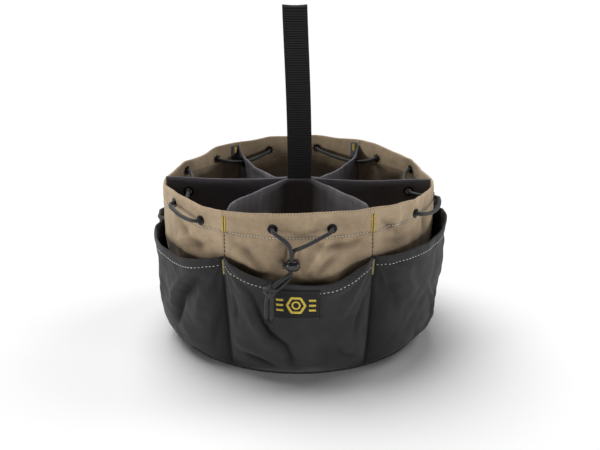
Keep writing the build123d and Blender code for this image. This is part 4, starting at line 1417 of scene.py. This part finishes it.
def make_label():
    """A woven patch with a stitched hexagon between short bars."""
    wide, tall = label_high[0] - label_low[0], 31.0
    left, bottom = label_low[0], label_low[2]
    tilt = -0.035

    def label_at(x, y, out):
        """A point on the patch, from its lower left corner."""
        x, y = np.broadcast_arrays(np.asarray(x, float), np.asarray(y, float))
        azimuth = -90 + np.degrees((left + x) / (rim_radius + 12))
        height = bottom + y + tilt * (x - wide) * ease(y, -10, tall)
        return pocket_place(azimuth, height, out)

    x, y = np.meshgrid(np.linspace(0, wide, 46), np.linspace(0, tall - 0.4, 34))
    edge = np.minimum(np.minimum(x, wide - x), np.minimum(y, tall - y))
    thick = 0.35 + 0.75 * np.sqrt(np.clip(edge / 1.0, 0, 1)) + 0.25 * np.exp(-((edge - 1.6) / 0.9) ** 2)
    uv = np.stack([x, y], -1) * MM
    patch = shell("name_patch", label_at(x, y, thick), label_at(x, y, 0.1), uv, label_cloth, 0.3)
    place(patch, "bag", "label", "label_patch")

    def band(points, width, number, pitch=0.42, out=1.25):
        """Satin stitches across a line of (x, y) places."""
        line = evenly(np.array([(*p, 0.0) for p in points]), pitch)[:, :2]
        along = unit(np.gradient(line, axis=0))
        side = np.stack([-along[:, 1], along[:, 0]], -1) * width / 2
        slant = along * 0.25
        a, b = line + side - slant, line - side + slant
        return (label_at(a[:, 0], a[:, 1], out), label_at(b[:, 0], b[:, 1], out), 0.62, number)

    middle_x, middle_y = wide / 2, tall / 2 - 0.5
    groups = []
    hexagon = [(middle_x + 8.6 * math.cos(math.radians(a)), middle_y + 8.6 * math.sin(math.radians(a)))
               for a in range(0, 361, 60)]
    for a, b in zip(hexagon, hexagon[1:]):
        groups.append(band([a, b], 2.5, 0))
    ring = [(middle_x + 3.6 * math.cos(math.radians(a)), middle_y + 3.6 * math.sin(math.radians(a)))
            for a in range(0, 361, 15)]
    groups.append(band(ring, 1.7, 0))
    for side in (-1, 1):
        near, far = middle_x + side * 12.4, middle_x + side * 18.6
        for rise in (-5.2, 0.0, 5.2):
            groups.append(band([(near, middle_y + rise), (far, middle_y + rise)], 2.3, 0))
    outline = [(1.6, 1.6), (wide - 1.6, 1.6), (wide - 1.6, tall - 2.0), (1.6, tall - 2.0), (1.6, 1.6)]
    for a, b in zip(outline, outline[1:]):
        line = evenly(np.array([(*a, 0.0), (*b, 0.0)]), 0.5)
        at = label_at(line[:, 0], line[:, 1], 1.25)
        groups.append((*dashes(at, 1.9, 2.6), 0.5, 1))
    sew("patch_embroidery", groups, [yellow_thread, black_thread])


# ---- carried CAD pieces -----------------------------------------------------


def dress(node, material):
    """Give a CAD node a better material in each of its slots."""
    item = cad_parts[node]
    item.data.materials.clear()
    item.data.materials.append(material)


def dress_cad():
    metal = lacquered("eyelet_black", (0.014, 0.014, 0.015), (0.20, 0.17, 0.12), 0.32, 0.40)
    plastic = moulded("lock_black", (0.012, 0.012, 0.014), 0.18)
    button = moulded("button_black", (0.016, 0.016, 0.018), 0.26, 0.0009)
    board = moulded("board_black", (0.035, 0.035, 0.036), 0.6, 0.003)
    steel = lacquered("spring_bright", (0.42, 0.42, 0.43), (0.6, 0.6, 0.6), 0.28, 0.3)
    for node in ("rim_eyelets", "divider_grommets"):
        dress(node, metal)
    dress("lock_body", plastic)
    dress("lock_plunger", button)
    dress("base_board", board)
    dress("lock_spring", steel)


make_camera()
make_cords()
make_studio()
for panel_name, panel_middle in panels.items():
    make_wall(panel_name, panel_middle)
    make_pocket(panel_name, panel_middle)
make_wall_stitches()
make_pocket_stitches()
make_bartacks()
make_tabs()
make_dividers()
make_base()
make_handle()
make_label()
dress_cad()
